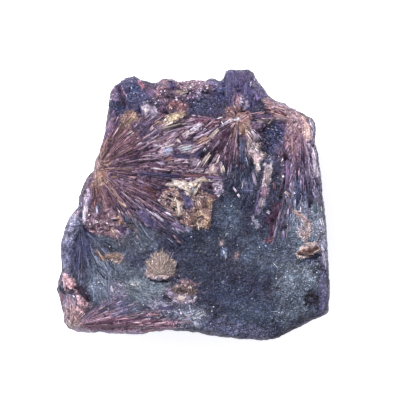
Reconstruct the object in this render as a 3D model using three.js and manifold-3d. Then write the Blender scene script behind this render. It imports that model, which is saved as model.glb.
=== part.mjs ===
// A lamprophyllite specimen: one broken hand piece of alkaline rock that lies on its back.
// Bladed lamprophyllite crystals radiate across its display face from a few hearts, over a
// fine-grained groundmass, with lumps of altered feldspar between them.
// The rock and its crystals grew together, so the whole piece is one solid.
// Millimetres, +Z out of the display face, origin under the middle of the piece where it rests.
import * as THREE from "three";
import { ImprovedNoise } from "three/addons/math/ImprovedNoise.js";
import { ConvexGeometry } from "three/addons/geometries/ConvexGeometry.js";
import { mergeVertices } from "three/addons/utils/BufferGeometryUtils.js";
import Module from "manifold-3d";

const wasm = await Module();
wasm.setup();

// ---- Driving dimensions ------------------------------------------------------------------

const FACE_HEIGHT = 30; // the display face's middle above the resting plane
const FACE_TILT = { x: 0.012, y: -0.01 }; // how much the face climbs per millimetre
const FACE_STEP = 3.5; // spacing of the display face's points
const BACK_STEP = 5.2; // spacing of the back's points
const RIM_STRETCH = 5; // longest stretch between points round the outline
const SHAKE = 0.5; // how far a point is shaken off its grid, as a share of the spacing
const CLEARANCE = 0.62; // least distance of such a point from the rim, likewise
const BODY_CENTRE = new THREE.Vector3(0, 0, 15); // what the broken planes are measured from

// Roughness, layer by layer: wave length, height, and which slice of the noise it reads.
const FACE_GRAIN = [
  { wave: 17, height: 1.5, slice: 0 },
  { wave: 6, height: 0.7, slice: 4 },
  { wave: 2.6, height: 0.45, slice: 9 },
];
const BACK_GRAIN = [
  { wave: 13, height: 2.6, slice: 21 },
  { wave: 5, height: 1.0, slice: 25 },
];
const SIDE_GRAIN = [
  { wave: 9, height: 1.6, slice: 31 },
  { wave: 4, height: 1.0, slice: 35 },
];

// The back rises towards its edge by so much, between these radii, and what lies lower than the
// flat is worn down to the resting plane.
const BACK_EDGE = { rise: 4, from: 27, to: 40, flat: 0.35 };

// The outline seen from above the display face, clockwise from the upper left shoulder.
const OUTLINE = [
  [-25.2, 31.4], [-24.6, 33.8], [-23.4, 35.6], [-21.9, 36.8], [-19.8, 38.3], [-17.4, 38.6],
  [-15.6, 37.4], [-12.9, 36.8], [-10.5, 36.6], [-9.3, 37.7], [-6.3, 37.7], [-3.9, 36.8],
  [-0.3, 37.4], [3.9, 37.2], [5.1, 38.0], [6.6, 37.8], [8.1, 37.1], [9.2, 37.7],
  [9.9, 40.1], [11.1, 40.7], [16.8, 40.7], [18.0, 39.8], [19.5, 37.4], [21.0, 35.3],
  [22.5, 33.0], [24.6, 31.2], [27.3, 30.6], [29.7, 28.8], [32.4, 27.6], [35.7, 25.8],
  [36.8, 24.5], [36.8, 21.2], [36.6, 18.5], [37.2, 15.5], [38.1, 11.0], [38.6, 5.0],
  [39.3, -1.7], [40.1, -7.1], [40.5, -16.1], [41.0, -23.6], [41.0, -28.4], [40.5, -32.0],
  [39.6, -33.2], [35.7, -34.7], [32.1, -36.6], [28.5, -38.4], [25.8, -39.9], [22.2, -40.7],
  [15.6, -40.4], [8.1, -39.8], [2.1, -38.7], [-1.5, -38.0], [-6.9, -37.7], [-11.1, -38.0],
  [-15.0, -38.9], [-21.9, -38.7], [-27.9, -38.3], [-34.5, -38.3], [-37.5, -37.4],
  [-38.6, -35.6], [-39.2, -32.0], [-40.1, -28.4], [-41.0, -25.1], [-40.4, -22.4],
  [-39.6, -20.0], [-39.9, -14.9], [-39.8, -11.3], [-38.7, -7.1], [-36.9, -3.5], [-34.4, -0.5],
  [-34.2, 2.6], [-33.0, 5.9], [-31.5, 8.4], [-29.7, 10.4], [-29.1, 13.4], [-27.9, 16.7],
  [-26.4, 20.3], [-26.0, 25.1], [-25.5, 28.4],
];

// The side, ring by ring from the display face down: share of the face's height, and how far
// the ring is drawn in from the outline.
const SIDE_RINGS = [
  { share: 1.0, inset: 2.0 },
  { share: 0.93, inset: 0.5 },
  { share: 0.83, inset: 0 },
  { share: 0.56, inset: 1.2 },
  { share: 0.28, inset: 3.0 },
  { share: 0.06, inset: 6.5 },
];
const FIRST_CHIPPED = 3; // the first of those rings that the broken planes below can reach

// Planes that broke off the lower edges: azimuth, elevation and distance from the body's centre.
const CHIPS = [
  { azimuth: 12, elevation: -38, distance: 32 },
  { azimuth: 62, elevation: -50, distance: 29 },
  { azimuth: 104, elevation: -30, distance: 31 },
  { azimuth: 150, elevation: -44, distance: 29 },
  { azimuth: 190, elevation: -26, distance: 32.5 },
  { azimuth: 228, elevation: -44, distance: 36 },
  { azimuth: 268, elevation: -24, distance: 34.5 },
  { azimuth: 316, elevation: -38, distance: 38 },
];

// Where the display face falls away to its edges: azimuth of the fall, distance at which it
// starts from the middle, and slope.
const FALLS = [
  { azimuth: 270, distance: 35.5, slope: 0.95 },
  { azimuth: 0, distance: 37.6, slope: 1.1 },
  { azimuth: 300, distance: 42.5, slope: 0.8 },
  { azimuth: 184, distance: 35.4, slope: 0.85 },
  { azimuth: 128, distance: 38, slope: 0.7 },
  { azimuth: 90, distance: 31.5, slope: 0.75 },
  { azimuth: 46, distance: 39.5, slope: 0.8 },
];

// Broad swells (+) and hollows (-) of the display face: middle, half length, half width, turn
// in degrees, rise, and the share of the radius over which the edge fades.
const SWELLS = [
  { at: [-12, 14], half: [25, 15], turn: 12, rise: 1.6, fade: 0.7 }, // the west spray's field
  { at: [-25, -4], half: [6.5, 5], turn: 0, rise: 1.7, fade: 0.35 }, // block below its heart
  { at: [-32, -13], half: [4.5, 13], turn: 18, rise: -2.6, fade: 0.8 }, // trough of the blue fan
  { at: [-33.6, -6.4], half: [3.2, 3.2], turn: 0, rise: 1.2, fade: 0.9 }, // its heart
  { at: [22.5, 19.5], half: [4.2, 8], turn: 0, rise: -3.0, fade: 0.55 }, // pit beside the star
  { at: [3.5, 31], half: [9, 4], turn: 0, rise: -2.2, fade: 0.7 }, // dark upper hollow
  { at: [14, 36], half: [8, 6.5], turn: 0, rise: -4.5, fade: 0.6 }, // the set-back top block
  { at: [-17, 32], half: [6.5, 5], turn: 0, rise: -1.6, fade: 0.5 }, // dark upper left pit
  { at: [9, -6], half: [11, 13], turn: 10, rise: -1.7, fade: 0.35 }, // smooth dark floor
  { at: [-3, -16], half: [9, 8], turn: 20, rise: -1.5, fade: 0.5 },
  { at: [26, -24], half: [12, 12], turn: 0, rise: 1.3, fade: 0.8 }, // green lower right swell
  { at: [22.6, 3], half: [2.2, 15], turn: -4, rise: 1.2, fade: 0.6 }, // pale rib
  { at: [-36, -30.5], half: [4, 5.5], turn: 0, rise: 1.2, fade: 0.6 },
  { at: [35.5, -29], half: [3, 4], turn: 0, rise: -1.5, fade: 0.7 }, // dark pit, lower right
];

// Each spray: its heart, and sectors of blades as from-to degrees, reach and number of blades.
// Blades are as BLADE says, unless their spray says otherwise.
const SPRAYS = [
  {
    heart: [-28.6, 10.6],
    sectors: [
      { from: 54, to: 77, reach: 17, count: 5 },
      { from: 32, to: 54, reach: 25, count: 5 },
      { from: 8, to: 32, reach: 34, count: 6 },
      { from: -12, to: 8, reach: 38, count: 5 },
      { from: -38, to: -12, reach: 31, count: 6 },
      { from: -64, to: -38, reach: 25, count: 5 },
      { from: -92, to: -64, reach: 17, count: 4 },
    ],
  },
  {
    heart: [13.5, 25.3],
    sectors: [
      { from: 160, to: 200, reach: 15, count: 5 },
      { from: 200, to: 232, reach: 20, count: 5 },
      { from: 232, to: 262, reach: 18, count: 5 },
      { from: 262, to: 290, reach: 20, count: 5 },
      { from: 290, to: 325, reach: 14, count: 4 },
      { from: 340, to: 388, reach: 11, count: 3 },
      { from: 62, to: 150, reach: 7, count: 3 },
    ],
  },
  {
    heart: [32.0, 24.4],
    sectors: [
      { from: 143, to: 172, reach: 13, count: 3 },
      { from: 234, to: 252, reach: 14, count: 3 },
      { from: 252, to: 262, reach: 36, count: 4 },
      { from: 262, to: 276, reach: 29, count: 5 },
      { from: 276, to: 284, reach: 26, count: 3 },
    ],
  },
  {
    heart: [-36.0, -36.0],
    sectors: [
      { from: 0, to: 6, reach: 35, count: 3 },
      { from: 6, to: 14, reach: 29, count: 3 },
      { from: 14, to: 34, reach: 18, count: 3 },
      { from: 40, to: 92, reach: 9, count: 2 },
    ],
  },
  {
    heart: [-33.4, -6.8],
    sectors: [
      { from: 232, to: 262, reach: 12, count: 2 },
      { from: 262, to: 284, reach: 18, count: 3 },
      { from: 284, to: 308, reach: 20, count: 3 },
      { from: 308, to: 328, reach: 14, count: 2 },
    ],
  },
  {
    heart: [-9.0, -22.4], // the tan tuft, a small raised fan of broad fibres
    blade: { width: [2.6, 3.2], proud: [0.8, 1.2], start: [0, 0.1], roll: 8 },
    sectors: [
      { from: 12, to: 48, reach: 6.0, count: 2 },
      { from: 48, to: 132, reach: 9.4, count: 4 },
      { from: 132, to: 168, reach: 6.0, count: 2 },
    ],
  },
];
// How wide a blade is, how far it stands proud of the face, how far from the heart it starts as
// a share of its reach, how deep it is and how far it rolls about its length, in degrees.
const BLADE = { width: [0.9, 1.8], proud: [0.25, 0.8], start: [0.08, 0.42], roll: 24 };
const BLADE_DEPTH = 2;

// Lumps that stand on the face: middle, half sizes along, across and up, turn, and rise of the
// lump's middle above the face.
const LUMPS = [
  { at: [34.4, -13.6], half: [4.4, 1.6, 1.9], turn: 12, rise: 0.2 }, // brown crystal, right
  { at: [14.2, 30.6], half: [2.3, 1.2, 1.8], turn: 82, rise: 0.8 }, // short crystal, top
  { at: [-37.0, -23.6], half: [4.2, 1.5, 1.9], turn: -62, rise: 0.2 }, // pink shards
  { at: [-34.2, -28.8], half: [4.0, 1.6, 1.8], turn: -50, rise: 0.2 },
  { at: [-37.2, -31.4], half: [2.4, 1.6, 1.6], turn: 80, rise: 0 },
  { at: [-24.3, -15.4], half: [3.6, 1.6, 1.3], turn: -8, rise: -0.2 }, // golden patch
  { at: [-17.9, -23.7], half: [1.5, 1.1, 1.0], turn: 10, rise: 0 },
  { at: [-3.4, -24.6], half: [3.8, 2.4, 1.6], turn: -8, rise: -0.4 }, // brown patch
  { at: [-1.8, -28.2], half: [3.6, 1.8, 1.5], turn: 6, rise: -0.5 },
  { at: [-3.6, 5.6], half: [6.2, 2.5, 1.9], turn: 4, rise: -0.5 }, // cream and tan crumble
  { at: [-9.6, 2.6], half: [3.6, 2.6, 1.9], turn: 30, rise: -0.6 },
  { at: [-0.6, -2.0], half: [4.2, 3.0, 2.0], turn: 70, rise: -0.5 },
  { at: [3.4, -4.6], half: [3.4, 2.6, 1.9], turn: -20, rise: -0.5 },
  { at: [4.6, 1.0], half: [3.4, 2.4, 1.8], turn: 50, rise: -0.6 },
  { at: [3.6, 5.2], half: [3.2, 2.2, 1.7], turn: 20, rise: -0.6 },
  { at: [-13.4, 29.2], half: [2.6, 2.0, 1.7], turn: 60, rise: -0.5 }, // white patch
  { at: [-8.8, 28.4], half: [2.6, 2.2, 1.7], turn: 10, rise: -0.6 },
  { at: [-5.6, 25.4], half: [5.2, 1.7, 1.7], turn: 24, rise: -0.5 }, // yellow band
  { at: [-1.0, 20.6], half: [4.6, 1.6, 1.7], turn: 34, rise: -0.5 },
  { at: [-18.4, 27.0], half: [3.2, 1.9, 1.6], turn: 66, rise: -0.5 }, // golden tips
  { at: [-8.0, 34.8], half: [3.0, 2.2, 2.0], turn: 0, rise: -0.5 }, // crumbly upper edge
  { at: [-2.0, 34.2], half: [3.4, 2.2, 1.9], turn: 12, rise: -0.5 },
  { at: [4.6, 34.8], half: [3.2, 2.0, 1.9], turn: -16, rise: -0.5 },
  { at: [-19.6, 34.6], half: [3.8, 2.6, 2.0], turn: 20, rise: -0.6 },
  { at: [32.6, -5.4], half: [3.8, 1.4, 1.5], turn: -56, rise: -0.3 }, // tan streak, right
  { at: [-22.4, -4.6], half: [3.6, 2.8, 1.9], turn: -20, rise: -0.6 }, // blocks, west
  { at: [-27.6, -2.6], half: [3.2, 2.4, 1.9], turn: 30, rise: -0.6 },
];
const LUMP_POINTS = 14;

// Parallel slabs that make the set-back block at the top: middle of the first, step to the
// next, number, length and width, and turn.
const SLAB_PACKS = [
  { first: [10.9, 35.9], step: [1.36, 0.05], count: 5, length: 9.0, width: 1.7, turn: 88 },
  { first: [17.9, 34.5], step: [1.4, -1.2], count: 2, length: 6.4, width: 1.7, turn: 96 },
  { first: [8.4, 31.0], step: [0.25, 1.1], count: 4, length: 6.4, width: 1.4, turn: 4 },
];

// ---- Small helpers -----------------------------------------------------------------------

const perlin = new ImprovedNoise();
const NOISE_ORIGIN = { x: 11.3, y: 5.7, z: 3.1 };
const radians = THREE.MathUtils.degToRad;
const smooth = THREE.MathUtils.smoothstep;
const random = (() => {
  let state = 7;
  return () => {
    state = (state * 16807) % 2147483647;
    return state / 2147483647;
  };
})();
const between = ([low, high]) => low + (high - low) * random();

// The sum of a surface's layers of roughness at (x, y), some slices further into the noise.
function grain(layers, x, y, deeper = 0) {
  let height = 0;
  for (const layer of layers) {
    const across = x / layer.wave + NOISE_ORIGIN.x;
    const along = y / layer.wave + NOISE_ORIGIN.y;
    height += layer.height * perlin.noise(across, along, layer.slice + deeper + NOISE_ORIGIN.z);
  }
  return height;
}

// How far (x, y) is from an ellipse's middle, as a share of its radius there.
function ellipseShare(x, y, { at, half, turn }) {
  const angle = radians(-turn);
  const dx = x - at[0];
  const dy = y - at[1];
  const along = dx * Math.cos(angle) - dy * Math.sin(angle);
  const across = dx * Math.sin(angle) + dy * Math.cos(angle);
  return Math.hypot(along / half[0], across / half[1]);
}

// ---- The relief of the two broad faces ---------------------------------------------------

function fallAt(x, y) {
  let fall = 0;
  for (const { azimuth, distance, slope } of FALLS) {
    const out = x * Math.cos(radians(azimuth)) + y * Math.sin(radians(azimuth));
    fall = Math.max(fall, (out - distance) * slope);
  }
  return fall;
}

function faceHeight(x, y) {
  let z = FACE_HEIGHT + FACE_TILT.x * x + FACE_TILT.y * y;
  for (const swell of SWELLS) {
    z += swell.rise * (1 - smooth(ellipseShare(x, y, swell), 1 - swell.fade, 1));
  }
  return z + grain(FACE_GRAIN, x, y) - fallAt(x, y);
}

function backHeight(x, y) {
  const { rise, from, to, flat } = BACK_EDGE;
  const edge = rise * smooth(Math.hypot(x, y), from, to);
  return Math.max(0, grain(BACK_GRAIN, x, y) + edge - flat);
}

// ---- The body: outline, side rings and two triangulated faces ----------------------------

function isInside(polygon, x, y) {
  let inside = false;
  for (let i = 0, j = polygon.length - 1; i < polygon.length; j = i++) {
    const a = polygon[i];
    const b = polygon[j];
    if (a.y > y !== b.y > y && x < ((b.x - a.x) * (y - a.y)) / (b.y - a.y) + a.x) {
      inside = !inside;
    }
  }
  return inside;
}

function nearestDistance(points, x, y) {
  return Math.min(...points.map((p) => Math.hypot(p.x - x, p.y - y)));
}

// The circle through three points.
function circumcircle(a, b, c) {
  const d = 2 * (a.x * (b.y - c.y) + b.x * (c.y - a.y) + c.x * (a.y - b.y));
  const [aa, bb, cc] = [a, b, c].map((p) => p.x * p.x + p.y * p.y);
  const x = (aa * (b.y - c.y) + bb * (c.y - a.y) + cc * (a.y - b.y)) / d;
  const y = (aa * (c.x - b.x) + bb * (a.x - c.x) + cc * (b.x - a.x)) / d;
  return { x, y, rr: (a.x - x) ** 2 + (a.y - y) ** 2 };
}

// Delaunay triangles of a set of points, counter-clockwise, by adding one point at a time.
function delaunay(points) {
  const far = 1e4;
  const all = [...points, { x: -far, y: -far }, { x: far, y: -far }, { x: 0, y: far }];
  const n = points.length;
  const triangle = (i, j, k) => ({ v: [i, j, k], ...circumcircle(all[i], all[j], all[k]) });
  let triangles = [triangle(n, n + 1, n + 2)];
  points.forEach((p, index) => {
    const edges = new Map();
    const kept = [];
    for (const t of triangles) {
      if ((p.x - t.x) ** 2 + (p.y - t.y) ** 2 >= t.rr) {
        kept.push(t);
        continue;
      }
      for (let e = 0; e < 3; e++) {
        const [i, j] = [t.v[e], t.v[(e + 1) % 3]];
        if (!edges.delete(j + "," + i)) edges.set(i + "," + j, [i, j]);
      }
    }
    for (const [i, j] of edges.values()) kept.push(triangle(i, j, index));
    triangles = kept;
  });
  return triangles.map((t) => t.v).filter((v) => v.every((i) => i < n));
}

// Points spaced by step inside a ring, on a slightly shaken triangular grid.
function fillRing(ring, step) {
  const filled = [];
  const rowStep = (step * Math.sqrt(3)) / 2;
  const reach = Math.max(...OUTLINE.flat()) + step;
  let row = 0;
  for (let y = -reach; y < reach; y += rowStep, row++) {
    for (let x = -reach + (row % 2) * (step / 2); x < reach; x += step) {
      const px = x + (random() - 0.5) * step * SHAKE;
      const py = y + (random() - 0.5) * step * SHAKE;
      const clear = nearestDistance(ring, px, py) > step * CLEARANCE;
      if (clear && isInside(ring, px, py)) filled.push({ x: px, y: py });
    }
  }
  return filled;
}

// The outline's corners, counter-clockwise, with long stretches between them cut into equal parts.
function rimPoints() {
  const corners = OUTLINE.map(([x, y]) => new THREE.Vector2(x, y)).reverse();
  return corners.flatMap((corner, i) => {
    const next = corners[(i + 1) % corners.length];
    const parts = Math.ceil(corner.distanceTo(next) / RIM_STRETCH);
    return Array.from({ length: parts }, (_, k) => corner.clone().lerp(next, k / parts));
  });
}

// The outline's points drawn in towards the middle, and roughened a little below the rim.
function sideRing(rim, { share, inset }) {
  return rim.map((p) => {
    const rough = grain(SIDE_GRAIN, p.x, p.y, share * 3) * Math.min(1, inset);
    const k = 1 - Math.max(0, inset + rough) / p.length();
    return new THREE.Vector3(p.x * k, p.y * k, 0);
  });
}

function chip(p) {
  for (const { azimuth, elevation, distance } of CHIPS) {
    const normal = new THREE.Vector3().setFromSphericalCoords(
      1, radians(90 - elevation), radians(azimuth + 90));
    normal.set(normal.x, -normal.z, normal.y);
    const over = p.clone().sub(BODY_CENTRE).dot(normal) - distance;
    if (over > 0) p.addScaledVector(normal, -over);
  }
  p.z = Math.max(0, p.z);
}

function bodyGeometry() {
  const rim = rimPoints();
  const steps = rim.length;
  const rings = SIDE_RINGS.map((ring) => sideRing(rim, ring));
  const top = rings[0].map((p) => faceHeight(p.x, p.y));
  rings.forEach((ring, k) => {
    ring.forEach((p, i) => {
      const wobble = k === 0 ? 0 : grain(SIDE_GRAIN, p.x, p.y, k);
      p.z = top[i] * SIDE_RINGS[k].share + wobble;
      if (k >= FIRST_CHIPPED) chip(p);
    });
  });
  const faceFill = fillRing(rings[0], FACE_STEP);
  const lastRing = rings.at(-1);
  const backFill = fillRing(lastRing, BACK_STEP);
  const faceTriangles = delaunay([...rings[0], ...faceFill]);
  const backTriangles = delaunay([...lastRing, ...backFill]);

  const vertices = rings.flat();
  const faceStart = vertices.length;
  for (const { x, y } of faceFill) vertices.push(new THREE.Vector3(x, y, faceHeight(x, y)));
  const backStart = vertices.length;
  for (const { x, y } of backFill) {
    const p = new THREE.Vector3(x, y, backHeight(x, y));
    chip(p);
    vertices.push(p);
  }

  const index = [];
  const addFace = (triangles, ring, ringStart, fillStart, flip) => {
    const place = (i) => (i < steps ? ringStart + i : fillStart + i - steps);
    const flat = [...ring, ...(flip ? backFill : faceFill)];
    for (const [i, j, k] of triangles) {
      const x = (flat[i].x + flat[j].x + flat[k].x) / 3;
      const y = (flat[i].y + flat[j].y + flat[k].y) / 3;
      if (!isInside(ring, x, y)) continue;
      index.push(place(i), ...(flip ? [place(k), place(j)] : [place(j), place(k)]));
    }
  };
  addFace(faceTriangles, rings[0], 0, faceStart, false);
  addFace(backTriangles, lastRing, (rings.length - 1) * steps, backStart, true);
  for (let k = 0; k + 1 < rings.length; k++) {
    for (let i = 0; i < steps; i++) {
      const next = (i + 1) % steps;
      const [a, b] = [k * steps + i, k * steps + next];
      const [c, d] = [a + steps, b + steps];
      index.push(a, c, d, a, d, b);
    }
  }
  const geometry = new THREE.BufferGeometry().setFromPoints(vertices);
  geometry.setIndex(index);
  return geometry;
}

// ---- Crystals, lumps and slabs -----------------------------------------------------------

// A flat blade along +X from the origin: narrow at its root, chisel-ended at its tip.
function bladeGeometry(length, width) {
  const blade = new THREE.BoxGeometry(length, width, BLADE_DEPTH, 2, 1, 1);
  blade.translate(length / 2, 0, 0);
  const position = blade.getAttribute("position");
  for (let i = 0; i < position.count; i++) {
    const along = position.getX(i) / length;
    const waist = along < 0.1 ? 0.45 : 1;
    const isTip = along > 0.9;
    position.setY(i, position.getY(i) * waist * (isTip ? 0.7 : 1));
    if (isTip && position.getZ(i) > 0) position.setZ(i, position.getZ(i) * 0.2);
  }
  return blade;
}

// The blade laid on the face from its start to its end, rolled a little about its length.
function layBlade(start, end, width, proud, roll) {
  const from = new THREE.Vector3(start.x, start.y, faceHeight(start.x, start.y));
  const to = new THREE.Vector3(end.x, end.y, faceHeight(end.x, end.y));
  const drop = proud - BLADE_DEPTH / 2;
  from.z += drop;
  to.z += drop;
  const along = to.clone().sub(from);
  const length = along.length();
  const across = new THREE.Vector3(-along.y, along.x, 0).normalize();
  const up = along.clone().normalize().cross(across);
  const blade = bladeGeometry(length, width);
  blade.rotateX(roll);
  const turn = new THREE.Matrix4().makeBasis(along.normalize(), across, up);
  return blade.applyMatrix4(turn).translate(from.x, from.y, from.z);
}

function sprayBlades(ring) {
  const blades = [];
  for (const { heart, sectors, blade = BLADE } of SPRAYS) {
    for (const { from, to, reach, count } of sectors) {
      for (let i = 0; i < count; i++) {
        const angle = radians(from + ((to - from) * (i + 0.2 + 0.6 * random())) / count);
        const point = (r) => ({
          x: heart[0] + r * Math.cos(angle),
          y: heart[1] + r * Math.sin(angle),
        });
        const start = point(reach * between(blade.start));
        let endReach = reach * between([0.72, 1]);
        while (!isInside(ring, point(endReach).x, point(endReach).y)) endReach -= 0.5;
        const end = point(endReach);
        const roll = radians(between([-blade.roll, blade.roll]));
        blades.push(layBlade(start, end, between(blade.width), between(blade.proud), roll));
      }
    }
  }
  return blades;
}

// An angular lump: the hull of points scattered over an ellipsoid.
function lumpGeometry({ at, half, turn, rise }) {
  const points = [];
  for (let i = 0; i < LUMP_POINTS; i++) {
    const up = 1 - (2 * (i + 0.5)) / LUMP_POINTS;
    const angle = i * 2.4 + random() * 1.3;
    const flat = Math.sqrt(1 - up * up);
    const size = between([0.82, 1.18]);
    points.push(new THREE.Vector3(
      half[0] * size * flat * Math.cos(angle),
      half[1] * size * flat * Math.sin(angle),
      half[2] * size * up));
  }
  const lump = new ConvexGeometry(points).rotateZ(radians(turn));
  return lump.translate(at[0], at[1], faceHeight(at[0], at[1]) + rise);
}

function slabBlades() {
  const slabs = [];
  for (const { first, step, count, length, width, turn } of SLAB_PACKS) {
    for (let i = 0; i < count; i++) {
      const x = first[0] + step[0] * i;
      const y = first[1] + step[1] * i;
      const size = length * between([0.8, 1]);
      const end = { x: Math.cos(radians(turn)) * size / 2, y: Math.sin(radians(turn)) * size / 2 };
      slabs.push(layBlade({ x: x - end.x, y: y - end.y }, { x: x + end.x, y: y + end.y },
        width, between([0.3, 1.1]), radians(between([-14, 14]))));
    }
  }
  return slabs;
}

// ---- Joining -----------------------------------------------------------------------------

function toSolid(geometry) {
  const bare = geometry.index ? geometry.toNonIndexed() : geometry.clone();
  for (const name of ["normal", "uv"]) bare.deleteAttribute(name);
  const merged = mergeVertices(bare, 1e-3);
  return new wasm.Manifold(new wasm.Mesh({
    numProp: 3,
    vertProperties: merged.getAttribute("position").array,
    triVerts: new Uint32Array(merged.index.array),
  }));
}

function toGeometry(solid) {
  const { vertProperties, triVerts } = solid.getMesh();
  const geometry = new THREE.BufferGeometry();
  geometry.setAttribute("position", new THREE.BufferAttribute(vertProperties, 3));
  geometry.setIndex(new THREE.BufferAttribute(triVerts, 1));
  return geometry;
}

const body = bodyGeometry();
const rim = OUTLINE.map(([x, y]) => new THREE.Vector2(x * 0.97, y * 0.97));
const growths = [
  ...sprayBlades(rim),
  ...LUMPS.map(lumpGeometry),
  ...slabBlades(),
];
let joined = toSolid(body);
for (const growth of growths) joined = joined.add(toSolid(growth));

// The outer skin alone is kept, which fills the pockets closed in under the crystals.
const shells = joined.simplify(0.1).decompose();
const outer = shells.reduce((a, b) => (a.volume() > b.volume() ? a : b));
const finished = toGeometry(outer);

// The origin is moved under the middle of the piece's own box.
finished.computeBoundingBox();
const middle = finished.boundingBox.getCenter(new THREE.Vector3());
finished.translate(-middle.x, -middle.y, -finished.boundingBox.min.z);
finished.computeVertexNormals();

const stone = new THREE.MeshStandardMaterial({ color: 0x4b4650, roughness: 0.7, metalness: 0 });
const specimen = new THREE.Mesh(finished, stone);
specimen.name = "specimen";

const part = new THREE.Group();
part.add(specimen);
export default part;
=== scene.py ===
# %% [markdown]
# # A lamprophyllite specimen
#
# Lamprophyllite grows as flat, brittle blades that fan out from a few hearts, here in a dark,
# sugary rock of aegirine and feldspar. The specimen lies on its back, display face up. The CAD
# model gives the solid block with its largest blades, and this file dresses it: first a fine
# skin over the block, then thousands of small crystals, chips and grains that lie on it.
#
# Places on the face are in millimetres from its middle, x to the right and y to the top.
# Directions are in degrees, from the right towards the top.

# %% Start: load the frame
import math

import bpy
import numpy as np
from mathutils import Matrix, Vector, noise
from mathutils.bvhtree import BVHTree


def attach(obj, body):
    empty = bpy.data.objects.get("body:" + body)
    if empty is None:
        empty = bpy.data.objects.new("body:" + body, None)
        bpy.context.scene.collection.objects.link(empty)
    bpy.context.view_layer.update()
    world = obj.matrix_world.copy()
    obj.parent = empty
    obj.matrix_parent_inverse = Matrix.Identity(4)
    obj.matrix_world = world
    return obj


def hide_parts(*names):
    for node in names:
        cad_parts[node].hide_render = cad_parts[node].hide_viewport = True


MM = 0.001
SEED = 20
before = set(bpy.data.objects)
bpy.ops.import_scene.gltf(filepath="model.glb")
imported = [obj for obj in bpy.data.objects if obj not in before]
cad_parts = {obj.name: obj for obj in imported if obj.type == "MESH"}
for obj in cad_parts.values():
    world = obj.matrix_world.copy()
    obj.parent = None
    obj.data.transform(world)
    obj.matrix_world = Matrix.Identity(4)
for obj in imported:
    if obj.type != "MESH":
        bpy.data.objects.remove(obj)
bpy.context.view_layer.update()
rng = np.random.default_rng(SEED)

# %% [markdown]
# The camera looks straight down on the display face. A very long lens, far off, keeps the sides
# of the block from showing and gives low and high parts of the face the same scale.

# %% The camera
FACE_HEIGHT = 30 * MM
VIEW_WIDTH = 119.7 * MM
VIEW_CENTRE = (2.1 * MM, 1.35 * MM)
LENS, SENSOR = 900, 36

camera_data = bpy.data.cameras.new("camera")
camera_data.lens = LENS
camera_data.sensor_width = SENSOR
camera_data.clip_start, camera_data.clip_end = 0.01, 10
camera = bpy.data.objects.new("camera", camera_data)
camera.location = (*VIEW_CENTRE, FACE_HEIGHT + VIEW_WIDTH * LENS / SENSOR)
bpy.context.collection.objects.link(camera)
bpy.context.scene.camera = camera
bpy.context.scene.view_settings.view_transform = "Standard"
print("camera", round(camera.location.z, 2), "m above the floor")

# %% [markdown]
# Nodes make the finishes and the sky. A node's inputs take either a plain value or a link from
# another node's output, so one helper sets both kinds.


# %% Node helpers
def feed(tree, node, inputs):
    """Gives a node's inputs their values or links, from {name: value or socket}."""
    for name, value in inputs.items():
        if isinstance(value, bpy.types.NodeSocket):
            tree.links.new(value, node.inputs[name])
        else:
            node.inputs[name].default_value = value


def add_node(tree, kind, inputs=(), **settings):
    """A new node with its settings, which come first because they can change its inputs."""
    node = tree.nodes.new(kind)
    for name, value in settings.items():
        setattr(node, name, value)
    feed(tree, node, dict(inputs))
    return node


def new_finish(name):
    """A new material, its node tree and its main shader."""
    finish = bpy.data.materials.new(name)
    finish.use_nodes = True
    tree = finish.node_tree
    return finish, tree, tree.nodes["Principled BSDF"]


# %% [markdown]
# Light: a broad window-like key from the upper left gives each blade a bright and a dark side,
# and an even pale surround fills the shadows a little blue, as daylight does. The floor glows a
# little, so that it stays pale and plain.

# %% The light and the floor
world = bpy.data.worlds.new("studio")
world.use_nodes = True
feed(world.node_tree, world.node_tree.nodes["Background"],
     {"Color": (0.9, 0.9, 1, 1), "Strength": 0.9})
bpy.context.scene.world = world

KEY_PLACE = (-0.2, 0.34, 0.6)
key_data = bpy.data.lights.new("key", "AREA")
key_data.shape = "DISK"
key_data.size = 0.1
key_data.energy = 11
key_data.color = (1, 0.94, 0.95)
key = bpy.data.objects.new("key", key_data)
key.location = KEY_PLACE
aim = Vector((*VIEW_CENTRE, FACE_HEIGHT)) - Vector(KEY_PLACE)
key.rotation_euler = aim.to_track_quat("-Z", "Y").to_euler()
bpy.context.collection.objects.link(key)

bpy.ops.mesh.primitive_plane_add(size=3, location=(0, 0, 0))
floor = bpy.context.object
floor.name = "floor"
pale_floor, floor_tree, floor_shader = new_finish("pale_floor")
feed(floor_tree, floor_shader,
     {"Base Color": (0.95, 0.95, 0.95, 1), "Roughness": 0.9,
      "Emission Color": (1, 1, 1, 1), "Emission Strength": 0.5})
floor.data.materials.append(pale_floor)
print("key", key_data.energy, "W,", round(aim.length, 2), "m away")

# %% [markdown]
# Colours are written as a painter would read them off a chart, 0 to 255, and turned into the
# linear values that Blender computes with. They are what the lit surface should show, so they
# are divided by how much light falls on it.

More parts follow.
